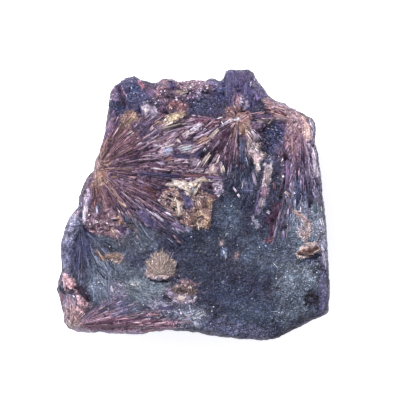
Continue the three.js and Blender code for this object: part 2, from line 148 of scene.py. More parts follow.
# %% The colours of the minerals
LIGHT_LEVEL = np.array((1.67, 1.66, 1.56))  # in red, green and blue
CHART = {
    # ink and ink plum also serve as painted shade: dark blades in the gaps between crystals and
    # painted shadows beside raised parts
    "ink": (30, 24, 36),
    "ink plum": (48, 32, 46),
    "dark plum": (70, 46, 66),
    "plum": (100, 70, 92),
    "mauve": (138, 108, 124),
    "rose tan": (180, 146, 146),
    "golden tan": (178, 150, 130),
    "gold brown": (134, 108, 96),
    "umber": (96, 74, 66),
    "red brown": (100, 68, 70),
    "cream": (216, 202, 190),
    "lilac white": (206, 194, 208),
    "pale rose": (206, 180, 182),
    "navy": (44, 42, 64),
    "slate": (68, 73, 94),
    "dark slate": (48, 50, 70),
    "pale slate": (140, 147, 164),
    "blue slate": (78, 84, 112),
    "white": (226, 226, 232),
    "peak violet": (80, 68, 108),
    "ice": (184, 188, 206),
    "pale yellow": (228, 208, 172),
    "olive": (156, 146, 136),
    "clay": (186, 152, 142),
    "brick": (122, 88, 94),
    "rust": (142, 108, 100),
    "lilac grey": (158, 146, 164),
    "violet mauve": (118, 96, 128),
    "violet slate": (82, 76, 108),
    "teal": (76, 96, 106),
    "peach": (216, 186, 176),
    "warm grey": (162, 146, 148),
    "green white": (180, 184, 188),
    "shard pink": (206, 172, 174),
}


def linear(colour):
    """Turns a colour of 0 to 255 into linear shares of 0 to 1."""
    share = np.asarray(colour, float) / 255
    return np.where(share <= 0.04045, share / 12.92, ((share + 0.055) / 1.055) ** 2.4)


PAINT = {name: linear(colour) / LIGHT_LEVEL for name, colour in CHART.items()}
print(len(PAINT), "named colours")


# %% [markdown]
# A spray isn't of one colour: its blades run from dark ones, painted as the shade in the gaps
# between blades, to pale cleavage faces, which also stand in for painted highlights. So a mix
# lists its colours from dark to pale, each with its share, and a crystal's lean, from 0 to 1,
# says how far up the list its colour lies.

# %% Colours drawn from a mix
MIX_SPREAD = 0.5  # stops by which blades of one colour differ


def painted(mix, lean):
    """One colour for each lean, drawn from a mix of {name: share} and lightened by chance."""
    shares = np.cumsum(list(mix.values()))
    picks = np.searchsorted(shares / shares[-1], np.clip(lean, 0, 0.999))
    stops = rng.normal(0, MIX_SPREAD, len(lean))
    return np.array([PAINT[name] for name in mix])[picks] * (2 ** stops)[:, None]


# %% [markdown]
# The skin: the block's own mesh is copied and given an even net of small faces with the Remesh
# modifier. A voxel remesh suits rock, because nothing on it has to stay sharp. The net is then
# roughened point by point.

# %% The skin of the block
VOXEL = 0.48 * MM
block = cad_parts["specimen"]
rock = bpy.data.objects.new("rock", block.data.copy())
bpy.context.collection.objects.link(rock)
bpy.ops.object.select_all(action="DESELECT")
rock.select_set(True)
bpy.context.view_layer.objects.active = rock
bpy.ops.object.mode_set(mode="EDIT")
bpy.ops.mesh.select_all(action="SELECT")
bpy.ops.mesh.remove_doubles(threshold=0.001 * MM)
bpy.ops.object.mode_set(mode="OBJECT")
remesh = rock.modifiers.new("net", "REMESH")
remesh.mode = "VOXEL"
remesh.voxel_size = VOXEL
bpy.ops.object.modifier_apply(modifier=remesh.name)
rock.data.materials.clear()
print("skin", len(rock.data.vertices), "points", len(rock.data.polygons), "faces")

# %% [markdown]
# Where is which mineral? Soft ellipses with frayed edges say so first, painted one over the other
# like washes of colour. An image could say it too, but the washes keep it in words and numbers
# that can be changed one by one.

# %% The washes of colour
# name, colour, middle, half its length and width, turn, how soft its edge is
WASHES = [
    ("left spray", (104, 80, 98), (-14.4, 13.4), (27, 15), 10, .4),
    ("upper left", (70, 68, 98), (-19.4, 32.4), (6.6, 6.4), 0, .4),
    ("top edge", (94, 76, 94), (-2, 33), (11, 4.6), 0, .5),
    ("blue speckles", (74, 68, 92), (4, 29.4), (7, 4), 0, .6),
    ("peak", (84, 76, 112), (14.6, 36), (6.4, 7), 0, .4),
    ("grey between", (96, 84, 108), (-14.8, 21.6), (4, 3), 0, .8),
    ("star", (86, 66, 82), (9.6, 18.6), (11, 8.6), 0, .4),
    ("under star", (42, 46, 66), (13.6, 8.4), (4.6, 8.6), 0, .5),
    ("blue notch", (78, 82, 108), (16, 5.4), (1.8, 3), 0, .8),
    ("right spray", (96, 80, 104), (31.4, 14), (5.6, 16), 4, .4),
    ("right blue", (84, 88, 118), (32, 4), (2.6, 6), 0, .7),
    ("right violet", (128, 122, 152), (37.6, 2.6), (1.4, 3.6), 0, .6),
    ("right teal", (134, 140, 154), (37, -4.4), (2.2, 5.4), 0, .8),
    ("right grey", (88, 96, 114), (28.6, -4), (3.8, 6), 0, .8),
    ("green field", (82, 89, 102), (-18.9, -16), (15, 9.5), 0, .6),
    ("teal field", (108, 124, 136), (-25.6, -19), (3.6, 2), 0, .8),
    ("dark field", (64, 68, 90), (-17, -16.6), (3.4, 2.4), 0, .8),
    ("low green", (108, 116, 128), (-19, -26), (9, 5.4), 0, .9),
    ("rosy field", (142, 140, 158), (-23.4, -26.4), (4.4, 3), 30, .9),
    ("dark blue field", (62, 64, 86), (-5, -13), (6, 5), -30, .8),
    ("pale field", (124, 136, 145), (-14, -25), (6, 3), 0, .9),
    ("violet strip", (92, 82, 112), (-13.6, -3.6), (5, 2.2), -40, .6),
    # painted light: the bulge on the left edge is painted pale, as the side lit from the upper left
    ("painted lit bulge", (200, 200, 226), (-37.4, -8.4), (3.6, 5.6), 0, .6),
    ("fan flank", (122, 124, 150), (-38.4, -16), (2.2, 5.4), 4, .8),
    ("blue fan", (62, 66, 98), (-33.4, -13), (3.4, 6.4), 0, .6),
    ("fan foot", (106, 117, 133), (-28.6, -23), (3, 7), 12, .9),
    ("fan shade", (80, 82, 100), (-34, -22), (2.4, 2.6), 0, .7),
    ("slate slab", (78, 84, 102), (-15.2, -32.6), (4.4, 2.2), 0, .7),
    ("teal edge", (92, 104, 118), (-27.6, -10.4), (3, 1.2), 0, .8),
    ("grey-green strip", (84, 98, 110), (-17, -6.4), (1.6, 3.6), 30, .8),
    ("white specks", (99, 103, 119), (-1.4, -33.6), (6.4, 3.6), 0, .8),
    ("grey specks", (128, 126, 144), (-10, -30.8), (4, 2.6), 0, .8),
    ("matrix light", (74, 85, 103), (11, -4), (4.4, 6), 0, .9),
    ("matrix dark", (46, 54, 72), (3, -12), (7, 5), 0, .9),
    ("matrix darkest", (47, 54, 74), (3, -20), (6, 5.4), 0, .9),
    ("matrix violet", (58, 65, 88), (11, -27), (6, 4), 0, .9),
    ("matrix teal", (68, 80, 98), (21, -15), (7, 6), 0, .9),
    ("matrix low", (68, 79, 99), (19, -33), (10, 5), 0, .9),
    ("matrix rim", (110, 113, 140), (12, -37.4), (11, 1.8), -4, .9),
    ("matrix grey", (80, 89, 106), (27, -14), (5, 5), 0, .9),
    ("matrix green", (98, 109, 122), (30.8, -24), (6, 8), 0, .9),
    ("green core", (112, 124, 136), (32, -20.6), (4, 2.6), -20, .9),
    ("matrix pale", (102, 112, 124), (30, -32.6), (5.4, 2.4), 24, .8),
    ("right low rim", (112, 112, 142), (39.4, -28), (1.5, 8), 0, .9),
    ("side glow", (182, 182, 202), (39.4, -10), (1.7, 9), 3, .9),
    ("side teal", (112, 124, 138), (33.4, -7), (4, 7), 10, .9),
]
print(len(WASHES), "washes")

# %% [markdown]
# Then come the patches that have a shape of their own. Each could be a sheet of mesh, but a colour
# and a rise on the skin itself leave no seam. The upper left corner is a dark, glittering lump
# with a white and a grey patch below it.

# %% The patches of the upper left corner
PATCHES = []


def add_patches(region, patches):
    """Adds patches, each with its name, colour, rise above the rock and outline. Later ones lie
    over earlier ones."""
    PATCHES.extend(patches)
    print(region, len(patches), "patches")


add_patches("upper left corner", [
    ("lump", (66, 66, 96), .2,
     [(-21.8, 37.2), (-19.6, 38.4), (-17, 38), (-15.2, 36.6), (-15.4, 34.2), (-13.2, 32.6),
      (-14.4, 30.6), (-19.4, 30), (-20.4, 32.6)]),
    ("lump core", (76, 88, 122), 0, [(-18.6, 35.6), (-16.8, 35.8), (-16.2, 34), (-17.8, 33)]),
    ("lump side", (112, 92, 116), 0, [(-25, 35), (-23, 35.6), (-22.2, 31), (-25, 31.2)]),
    ("dark bar", (62, 42, 60), -.3,
     [(-22.8, 35.6), (-22, 36.2), (-20.6, 32), (-19.9, 30), (-21.2, 30)]),
    ("lump foot", (44, 46, 76), -.2,
     [(-25.4, 30.6), (-21, 31), (-20.8, 29), (-22, 26.4), (-25.6, 27.8)]),
    ("left flank", (92, 80, 120), 0,
     [(-26.4, 25.6), (-23.8, 26), (-23.2, 22.6), (-24.6, 20.4), (-27.4, 18.4)]),
    ("rose rim", (144, 100, 112), 0, [(-16.6, 37), (-15.4, 36.8), (-14.4, 35), (-15.4, 34.2)]),
    ("mauve knob", (104, 80, 104), .1, [(-14, 34.8), (-12, 35), (-11.4, 33.4), (-13, 32)]),
    ("rose knob", (130, 100, 112), .1, [(-11.4, 34.2), (-10, 34.8), (-9.6, 31.6), (-12, 32.6)]),
    ("white patch", (176, 168, 180), .2,
     [(-15.6, 29.8), (-13.4, 30.6), (-12.8, 28.4), (-13.6, 26.4), (-15, 27)]),
    ("grey patch", (152, 140, 154), .1,
     [(-12.6, 29.4), (-10.6, 28.8), (-10.2, 26.8), (-12, 25.8), (-13, 27.4)]),
    ("plum foot", (82, 60, 84), -.2, [(-9.8, 30), (-7.4, 29), (-6.8, 27.4), (-9.4, 26.6)]),
])

# %% [markdown]
# The left spray has its heart on the edge of the rock. It is tan there, and its highest blades
# end in golden tips.

# %% The patches of the left spray
add_patches("left spray", [
    ("upper heart", (120, 90, 102), 0,
     [(-27.6, 18.6), (-22, 23.4), (-17, 22), (-15.6, 19), (-18, 15.6), (-23, 14), (-28.8, 12.4)]),
    ("left heart", (156, 124, 114), 0,
     [(-29.8, 15.6), (-26.6, 17.6), (-24.8, 14.6), (-24.8, 11.4), (-26, 8), (-28, 3), (-30.4, 3),
      (-31, 7)]),
    ("heart foot", (100, 74, 80), 0,
     [(-30, 4), (-27, 4.6), (-24.6, 2), (-23.6, -1), (-27, -1.4), (-30.6, -1)]),
    ("tan run", (134, 106, 102), 0, [(-27, 7.4), (-25.6, 7.6), (-19.6, -.4), (-20.6, -1)]),
    ("golden tips", (128, 103, 98), .1,
     [(-23.4, 20.6), (-21.4, 26.6), (-19.2, 28.4), (-16.6, 27.4), (-16.6, 25.4), (-18.8, 23.6),
      (-21, 20)]),
    ("golden core", (152, 124, 108), 0, [(-18.8, 26.8), (-17, 26.4), (-17.2, 25), (-19, 25)]),
])

# %% [markdown]
# The top edge is a crumbly strip of rose and violet knobs, with a dark speckled hollow under it.

# %% The patches of the top edge
add_patches("top edge", [
    ("top strip", (134, 108, 120), 0,
     [(-10, 37.4), (4.8, 37.2), (5.4, 35.2), (0, 34.6), (-3, 34.4), (-9.6, 34.6)]),
    ("violet knob", (60, 42, 74), .1, [(-7.4, 37.2), (-5.2, 37.2), (-5, 35.2), (-7.2, 34.8)]),
    ("olive fleck", (140, 128, 120), .1, [(-6, 33.8), (-1.4, 34.2), (-2.6, 32.6), (-5, 32.8)]),
    ("lilac fleck", (146, 134, 162), .1, [(.8, 34.4), (2.4, 34), (2.2, 32.8), (1, 33)]),
    ("red brown", (132, 98, 102), 0,
     [(-8, 30.8), (-4, 31), (-1.4, 29.8), (-1.8, 27.8), (-7.4, 28.6)]),
    ("teal core", (66, 76, 104), -.2, [(.4, 31), (3.6, 31), (4.4, 28.8), (3, 26.8), (-.8, 28.6)]),
    ("speckled hollow", (58, 58, 84), -.3,
     [(-1.6, 31), (4, 32), (8.6, 31.4), (10, 28), (6, 26.6), (0, 27)]),
])

# %% [markdown]
# Between the sprays lie broken chunks of pale cleavage, a yellow band and some dark blocks.

# %% The patches between the sprays
add_patches("between the sprays", [
    ("yellow band", (156, 136, 120), .2,
     [(-9.6, 25), (-6.6, 27.4), (-2.2, 28), (-2, 26.4), (-6.8, 24), (-9.8, 23.8)]),
    ("yellow core", (218, 200, 164), .1, [(-7.2, 26.2), (-4.6, 27), (-4.8, 25.6), (-7, 25)]),
    ("olive run", (128, 116, 116), 0,
     [(-9.4, 23.4), (-5, 24.8), (-1.4, 25.6), (-1, 24.6), (-8, 21.4)]),
    ("wine band", (112, 78, 98), 0, [(-1, 26), (4, 26.2), (8, 24.6), (5.4, 23.4), (-1, 24.8)]),
    ("white chunk", (224, 214, 226), .3,
     [(-.8, 22.4), (1.6, 24.2), (3, 24), (2.2, 23.2), (.4, 22)]),
    ("pale chunk", (194, 176, 184), .3, [(-3.2, 21), (-1.4, 22.2), (-1, 21), (-2.6, 20.3)]),
    ("olive chunk", (206, 186, 188), .3, [(5, 20), (7.4, 23), (7.7, 22), (6, 19.6)]),
    ("peach wedge", (168, 134, 132), .2, [(1, 18.6), (3.6, 20.2), (5, 20), (4, 18), (2, 17.4)]),
    ("plate ground", (136, 122, 138), 0,
     [(-11.4, 16.6), (-9.6, 18.2), (-5, 18), (-1, 18.8), (1.2, 17.8), (.8, 15.8), (-3, 15),
      (-9.6, 14.6)]),
    ("green plate", (166, 170, 176), .3,
     [(-4.8, 16.8), (-3.2, 17.6), (-.4, 17.9), (.4, 17.2), (-.8, 16), (-2, 15.4), (-3.8, 15.8)]),
    ("lilac plate", (166, 164, 190), .3,
     [(-10, 15.8), (-8.6, 16.8), (-6.6, 17), (-5.4, 16.4), (-6.4, 15.2), (-9, 14.8)]),
    ("plum block", (84, 62, 90), -.1,
     [(-6, 16.8), (-3.8, 16.6), (-3.6, 15.2), (-1, 14.8), (-1, 14), (-6, 14)]),
    ("navy block", (90, 82, 110), -.2, [(.4, 16), (3.4, 16.4), (3.8, 14.4), (1, 13.6)]),
    ("orange lens", (120, 86, 86), .1, [(-8.6, 14.3), (-6.4, 13.7), (-6, 13), (-7.8, 13)]),
    ("navy run", (78, 70, 94), -.2, [(-16, 9.8), (-7, 9.2), (-4, 8.2), (-6, 7.2), (-16, 8.4)]),
])

# %% [markdown]
# The block at the top stands back from the face. A short crystal of two halves leans on it.

# %% The patches of the top block
add_patches("top block", [
    ("peak block", (72, 62, 102), .2,
     [(9.8, 40.6), (17.6, 40.7), (18.4, 38.6), (17, 36), (16, 34.4), (12.6, 35), (10.4, 37)]),
    ("peak right", (90, 78, 116), 0,
     [(18, 40), (19.8, 37.2), (22.4, 32.8), (19, 31), (17.4, 33), (17.4, 36)]),
    ("peak left", (62, 64, 100), -.1,
     [(6.4, 34.8), (10, 38), (12, 35.4), (11.8, 32), (9, 31.2), (6, 32)]),
    ("peak knob", (122, 118, 156), .1,
     [(4.8, 37.8), (6.6, 37.9), (8.8, 36.8), (7.4, 35.6), (5, 35.8)]),
    ("peak gap", (56, 54, 86), -.3,
     [(16.6, 33.6), (18, 33.4), (18.4, 29.6), (17.2, 28.8), (16.8, 31)]),
    ("crystal left", (146, 114, 124), .1,
     [(12.4, 29), (11.8, 31.4), (12.8, 33), (14.2, 33), (14.3, 30.6), (13.8, 28)]),
    ("crystal right", (176, 166, 190), .1,
     [(14.2, 32.6), (15.6, 32), (16.8, 29.9), (15.8, 28.2), (14.4, 28.2)]),
])

# %% [markdown]
# The top star has a pale centre and a golden root, and turns dark brown and blue-black farther
# down. Cream slabs lie on its right.

# %% The patches of the top star
add_patches("top star", [
    ("star heart", (148, 114, 112), 0,
     [(9.4, 28.6), (12.6, 29.4), (16.6, 28), (17.6, 25.6), (16.6, 23.4), (13, 24), (10.6, 24.6)]),
    ("star centre", (212, 188, 188), .1,
     [(10, 25.4), (12.6, 25.9), (14.6, 26.6), (14, 25), (11.6, 24.6)]),
    ("star root", (160, 130, 120), 0, [(13, 24.6), (17, 24.8), (17.6, 22.8), (16, 20.6), (14, 21)]),
    ("star shade", (88, 64, 82), -.1,
     [(4.8, 17.6), (9.6, 23.4), (11.8, 22.6), (8.6, 16), (6.4, 15.4)]),
    ("star brown", (106, 80, 92), 0, [(11.8, 23), (13.4, 23), (13.6, 15), (10.6, 14.4)]),
    ("pale wedge", (150, 134, 144), .2,
     [(-1.2, 13.8), (.6, 14.2), (2.2, 12.2), (1.4, 10.6), (-.8, 11)]),
    ("rose wedge", (166, 142, 144), .2,
     [(4.4, 11.4), (6.4, 12.6), (7.8, 9.8), (7.2, 8.6), (4.6, 9)]),
    ("star blue", (92, 92, 116), -.1, [(13.8, 19.6), (15.2, 19.6), (15.4, 13), (13.6, 12.6)]),
    ("violet block", (144, 124, 154), .2,
     [(17.2, 24.6), (19, 25), (21.4, 23.8), (20.6, 22), (18.4, 22.8)]),
    ("violet run", (98, 80, 110), 0, [(18, 26.8), (23.8, 26.9), (23.4, 25.9), (18.6, 26)]),
    ("olive band", (168, 152, 154), .1, [(18.6, 25.6), (23.4, 25.4), (22.4, 24), (19.6, 24.8)]),
    ("star right", (156, 140, 144), 0,
     [(15.8, 21), (18.6, 21), (20.6, 17.4), (18.4, 13.4), (16.6, 14)]),
    ("cream slab", (188, 174, 172), .3,
     [(18.2, 16.4), (21.8, 15.4), (21.6, 14.2), (20, 13.2), (20.2, 10.2), (19, 10), (18.2, 13)]),
])

# %% [markdown]
# On the right a dark hollow parts the star from the right spray. The spray's heart is rosy, with
# a peach lip and a lilac rim outside it. Long slabs and a dark fang hang down beside it.

# %% The patches of the right spray
add_patches("right spray", [
    ("hollow", (60, 64, 94), -.5,
     [(21.4, 22.6), (25.6, 23.6), (27, 21.8), (27, 19), (25, 17), (24.4, 14.6), (22.6, 15.6),
      (21.4, 18.4)]),
    ("hollow lip", (98, 84, 118), 0, [(24.6, 25.2), (28, 25), (27.6, 22.8), (25.4, 23.4)]),
    ("hollow foot", (102, 102, 126), 0, [(21.8, 14.8), (24.4, 14.8), (24, 12.4), (21.6, 12.4)]),
    ("ridge", (166, 140, 148), .1,
     [(20.6, 31.6), (23, 32.2), (25.6, 31.2), (28.6, 30.4), (30, 28.8), (28, 28.2), (22, 28.8)]),
    ("ridge foot", (146, 112, 110), 0,
     [(21.4, 29), (25, 28.6), (28.4, 27.2), (27.4, 26.2), (24, 26.6)]),
    ("right heart", (168, 138, 142), 0,
     [(28, 28.2), (31, 28), (33.6, 26), (34.4, 23.6), (33.6, 21.6), (31, 21), (28.6, 22.4),
      (27.6, 25)]),
    ("right root", (146, 114, 126), 0,
     [(27.6, 22), (33.6, 21.4), (34, 18), (31, 13.6), (29, 14.4), (27.4, 18)]),
    ("peach lip", (226, 196, 186), .2,
     [(33.4, 24.6), (34.8, 24), (35.8, 21.4), (35.9, 19.6), (34.6, 18.6), (33.4, 19.8), (33, 22)]),
    ("outer rim", (206, 192, 210), 0,
     [(32.8, 28.4), (35.4, 27), (37.2, 24.6), (37.4, 18.6), (36.2, 18.4), (36, 21), (35.2, 24),
      (34.2, 26)]),
    ("lower lip", (224, 206, 222), 0,
     [(34.4, 18.2), (36.4, 17.6), (38, 13.6), (36, 12.4), (35.4, 15)]),
    ("lilac side", (226, 208, 228), 0,
     [(35.6, 14), (38.2, 13.6), (38.6, 8.4), (35.8, 8), (35.6, 11)]),
    ("slab", (206, 192, 194), .4,
     [(21, 12.2), (23.4, 12), (23.6, 10.6), (23, 7), (22.6, 5), (20.4, 5), (20.6, 8), (21, 10.6)]),
    ("slab foot", (150, 132, 150), .3, [(20.4, 5.2), (22.8, 5), (22, 2.2), (20.2, 2.2)]),
    ("slab end", (118, 116, 138), .1,
     [(20, 2.2), (22, 2), (21.4, -.8), (19.8, -2.8), (18.4, -2), (18.8, 0)]),
    ("slab shade", (84, 78, 98), -.3,
     [(20.8, 11.6), (21.3, 11.2), (20.4, 5), (18.7, -1.6), (17.9, -1.4), (19.6, 5)]),
    ("blue tip", (168, 172, 192), .1,
     [(17.6, -3.6), (18.6, -4.2), (20.2, -6.4), (19.4, -7.2), (17.8, -5.8)]),
    ("fang", (80, 62, 84), -.2,
     [(24.4, 1.6), (26.6, .6), (26, -3), (25.2, -6), (24.4, -9.4), (22.6, -9.4), (22.6, -5.6),
      (20.8, -3.8), (22.8, -3.6)]),
    ("fang tip", (116, 84, 102), 0, [(22.6, -9.4), (24.4, -9.4), (23.8, -11.8), (21, -11)]),
])

# %% [markdown]
# The crumbly mass in the middle is cream at its top and tan below, with dark knots in it.

# %% The patches of the tan mass
add_patches("tan mass", [
    ("cream bird", (228, 214, 194), .4,
     [(-8.4, 6.4), (-6.4, 6.2), (-5.8, 7.1), (-4.4, 6.8), (-2.9, 7.2), (-.2, 6.4), (.5, 7.6),
      (1.6, 8), (3.6, 7.8), (4.8, 7.2), (3, 6.8), (2.2, 5.9), (1, 3.2), (.4, 2.8), (-.2, 3.4),
      (-.8, 2.2), (-1.8, 2.6), (-3.2, 4.9), (-7.6, 5.6)]),
    ("dark chunk", (88, 76, 90), -.2, [(2.8, 6.6), (5.4, 6.7), (6, 5), (5, 4), (2.8, 4.8)]),
    ("pale specks", (158, 146, 160), .1, [(5.8, 7), (8.6, 6.8), (9.4, 4), (7.6, 2.2), (6.4, 3.4)]),
    ("left tan", (174, 149, 134), .3,
     [(-7, 4.9), (-4.8, 5.2), (-3.6, 3.2), (-3, 1.2), (-3.4, -3.6), (-4.8, -4.2), (-6.5, -2.4),
      (-8.6, -.6), (-10, 1.6), (-9, 3.2)]),
    ("lower tan", (140, 116, 108), .3,
     [(0, 2.6), (1.6, 3.6), (4.4, 3.4), (6.8, 2.6), (6.4, .8), (5.6, -1), (5.2, -7), (3, -7.4),
      (0, -7), (-3.4, -5.6), (-3.4, -2.4), (-.6, -1.4)]),
    ("grey plate", (98, 92, 118), 0,
     [(-4.2, 4.6), (-3, 4.3), (-2, 2.8), (-.6, 2.4), (0, .2), (-.6, -1.2), (-1.9, -.8), (-3, 1.5)]),
    ("gold sheen", (206, 180, 156), .1,
     [(-7, 2.4), (-5.2, 2.8), (-4.6, .6), (-5.6, -1.6), (-7.4, -.8)]),
    ("cream sliver", (222, 206, 184), .2, [(-4.8, 1.4), (-3.6, 1.4), (-3.8, -3.2), (-4.8, -3.4)]),
    ("low gold", (162, 138, 118), .1,
     [(.2, -2.6), (2.4, -1.4), (4.6, -3.4), (4.6, -6.8), (1, -6.6)]),
    ("high gold", (176, 148, 126), .1, [(4.4, 1.8), (6, 1.8), (5.6, -.8), (4.4, -.8)]),
    ("brown knot", (88, 62, 60), -.2, [(2.6, 1), (4, 1.2), (4.4, -.8), (3, -1.4)]),
    ("dark knot", (96, 78, 82), -.3, [(-2.6, -1.6), (-.8, -1), (.2, -3.4), (-2, -3)]),
    ("low knot", (98, 78, 78), -.3, [(1.4, -4.2), (2.8, -3.2), (3, -4.8), (1.8, -5.8)]),
    ("rosy knot", (200, 172, 166), .1, [(.4, 1.4), (2.4, 1), (1.8, -.4), (.4, -.2)]),
    ("lilac spur", (150, 144, 166), 0,
     [(-5, -5), (-3.2, -6.6), (-.6, -7.2), (-1, -8), (-4, -8), (-6.4, -6.2)]),
])

# %% [markdown]
# The dark matrix has a tan field and a tan crystal at the right edge, with a painted shadow under
# the crystal, a pit painted darker as shade in it, and a few spots.

# %% The patches of the matrix
add_patches("matrix", [
    ("tan field", (182, 168, 166), .2,
     [(29.4, -1.4), (31, -1.4), (33.6, -3.2), (35, -5), (36, -7.4), (34.8, -9.2), (34.2, -11.4),
      (33.2, -11.2), (31.2, -9), (31.6, -7.2), (32.8, -5.6)]),
    ("field core", (152, 138, 142), 0,
     [(31.6, -7), (33, -6), (33.8, -8), (32.6, -9.4), (31.2, -8.6)]),
    ("olive spot", (124, 120, 124), 0, [(7.6, -10.2), (9, -10.4), (9, -12.6), (8, -12.2)]),
    ("ice spot", (100, 114, 138), 0, [(8.4, -13), (10, -13.2), (10.4, -15.8), (8.6, -15.2)]),
    ("rust spot", (114, 94, 98), 0, [(12.4, -15), (13.6, -14.2), (13.9, -16), (12.8, -16.5)]),
    # the pit is sunk, and it is painted darker as shade in it
    ("pit", (62, 60, 76), -.6,
     [(33.6, -27), (35, -25.4), (36.6, -26.6), (38, -28.6), (38, -30.2), (34, -30.2), (33.2, -29)]),
    # painted shadow under the tan crystal
    ("painted crystal shadow", (78, 80, 102), -.3, [(33, -16.6), (38.8, -14.6), (39, -16.6), (36, -17.6)]),
    ("tan crystal", (204, 180, 168), .7,
     [(30.6, -14.8), (32.2, -12.5), (34.8, -11.8), (37.4, -11.4), (38.8, -12.6), (38.6, -13.8),
      (35.4, -15.5), (31.8, -16.2)]),
    ("crystal core", (92, 62, 60), -.2,
     [(31.3, -15), (33.2, -15.2), (35.8, -14.4), (38.1, -13), (37, -12.3), (34, -13.1),
      (31.8, -14)]),
])

# %% [markdown]
# The tuft is a half disc of tan fibres with a painted shadow on the ledge under it. Smaller
# golden, brown and pale patches lie round it.

# %% The patches round the tuft
add_patches("tuft", [
    ("tuft", (137, 125, 117), .1,
     [(-14, -17.4), (-12.6, -15.6), (-11, -14.2), (-9.4, -13.8), (-7.8, -14.8), (-6.4, -16.4),
      (-5.2, -17.2), (-4.8, -20), (-5.8, -21.2), (-7.4, -22), (-9.6, -22.4), (-12, -22.2),
      (-13.8, -21.6)]),
    ("tuft rim", (190, 166, 166), .1,
     [(-13.9, -20.4), (-12, -21), (-9.4, -21.5), (-6, -20.8), (-6.4, -21.6), (-9, -22.5),
      (-12, -22.3), (-13.8, -21.7)]),
    # painted shadow: a dark strip under the tuft, sunk a little, stands for the shadow it casts
    ("painted tuft shadow", (64, 62, 82), -.4,
     [(-14, -22), (-12, -22.6), (-9, -22.8), (-6, -21.9), (-4, -21), (-3.6, -22), (-6, -23),
      (-9, -23.6), (-13, -23)]),
    ("golden patch", (152, 130, 120), .1,
     [(-28.6, -14), (-26.8, -15.4), (-25, -14.7), (-22, -14.5), (-20.6, -15.4), (-21.4, -16.9),
      (-23, -17.7), (-25, -16.6), (-27, -17.2)]),
    ("yellow dot", (190, 180, 150), .1, [(-19, -23.6), (-17.8, -23.2), (-16.6, -24), (-18, -24.6)]),
    ("red lens", (126, 104, 114), 0,
     [(-4.2, -22.6), (-1.4, -22.6), (1.6, -24), (-1, -25.2), (-3.6, -24)]),
    ("brown patch", (114, 98, 96), 0,
     [(-6.4, -24.4), (-3, -23.4), (.4, -24.6), (1.6, -26.4), (-.6, -27.6), (-4.4, -27),
      (-6.8, -26)]),
    ("pale patch", (148, 136, 148), 0,
     [(-6.8, -26.6), (-4.4, -27), (-.6, -27.4), (1, -28), (-.4, -29.4), (-2.8, -30), (-5.6, -29)]),
    ("mauve lens", (140, 126, 144), 0,
     [(-9, -25.4), (-7.6, -25), (-5.8, -26.2), (-6.2, -28.2), (-8.2, -26.8)]),
    ("white splash", (134, 140, 154), .1,
     [(-3, -32), (0, -31), (3.4, -31.8), (4, -33.4), (1.8, -34.6), (2.2, -37), (.4, -37.4),
      (0, -34.6), (-2.6, -34)]),
])

# %% [markdown]
# The lower left corner holds the pink shards, with a painted shadow beside them, and the heart of
# the corner spray, which runs along the lower edge. The lower edge is painted paler, as painted
# light.

# %% The patches of the lower left corner
add_patches("lower left corner", [
    ("pink shard", (212, 174, 178), .3,
     [(-39.4, -20), (-38, -20.8), (-36, -22.2), (-34.9, -24.4), (-35.8, -25.4), (-37, -25.4),
      (-37.8, -26.4), (-38.6, -24.6)]),
    ("pink slab", (210, 172, 176), .3,
     [(-35.2, -25.8), (-34, -26.6), (-31.2, -29.2), (-31.8, -30.8), (-33, -32.8), (-35, -32.4),
      (-35.2, -30), (-34.6, -28)]),
    # painted shadow: a dark wedge beside the pink shard, sunk a little, stands for the shadow it
    # casts
    ("painted shard shadow", (60, 42, 60), -.5,
     [(-35.2, -24.4), (-33.8, -24.8), (-31.4, -27.4), (-30.8, -29.2), (-31.6, -29.2),
      (-33.8, -26.8), (-35.2, -25.8)]),
    ("shard hole", (100, 88, 112), -.3,
     [(-38, -26.8), (-35.8, -25.9), (-35.1, -27), (-35.4, -29), (-38.2, -28.6)]),
    ("brown corner", (170, 144, 146), 0,
     [(-39, -28.8), (-35.6, -29.2), (-35, -32.6), (-33.6, -33.6), (-34, -36), (-36.6, -37.4),
      (-38.6, -36)]),
    ("shard streak", (144, 128, 142), 0,
     [(-38.6, -27), (-36.4, -27.4), (-36, -30.4), (-38, -30.6)]),
    ("corner heart", (194, 170, 168), 0,
     [(-38.4, -35), (-33, -35.2), (-32.4, -37.6), (-36.4, -38.4), (-38.4, -37.4)]),
    ("corner spray", (152, 116, 134), 0,
     [(-33.4, -33), (-28.6, -31.8), (-25, -31.4), (-24, -33), (-16, -34.6), (-9, -34.6), (-5, -35),
      (-5, -36.8), (-10, -37.4), (-14, -39), (-33, -38.6)]),
    # painted light: the lower edge is painted paler, against the shade that falls on it as it turns
    # from the key
    ("painted lit low edge", (212, 178, 196), 0,
     [(-33, -37.7), (-14, -37.9), (-9, -36.7), (-9, -39), (-14, -41), (-33, -41)]),
    ("pink run", (150, 116, 132), 0, [(-14, -32.4), (-10, -32), (-10, -33.2), (-14, -33.4)]),
    ("violet slab", (102, 100, 128), 0,
     [(-24.8, -30.4), (-22.6, -28.6), (-20.4, -29), (-19.4, -30.4), (-19.8, -32.8), (-24.4, -33)]),
    ("left rim", (116, 108, 134), 0,
     [(-41, -21), (-39.4, -21), (-39, -25.6), (-38.8, -33), (-41, -30)]),
])

# %% [markdown]
# Under the left spray the edge is broken into pinkish blocks, with a pale sliver at its rim.

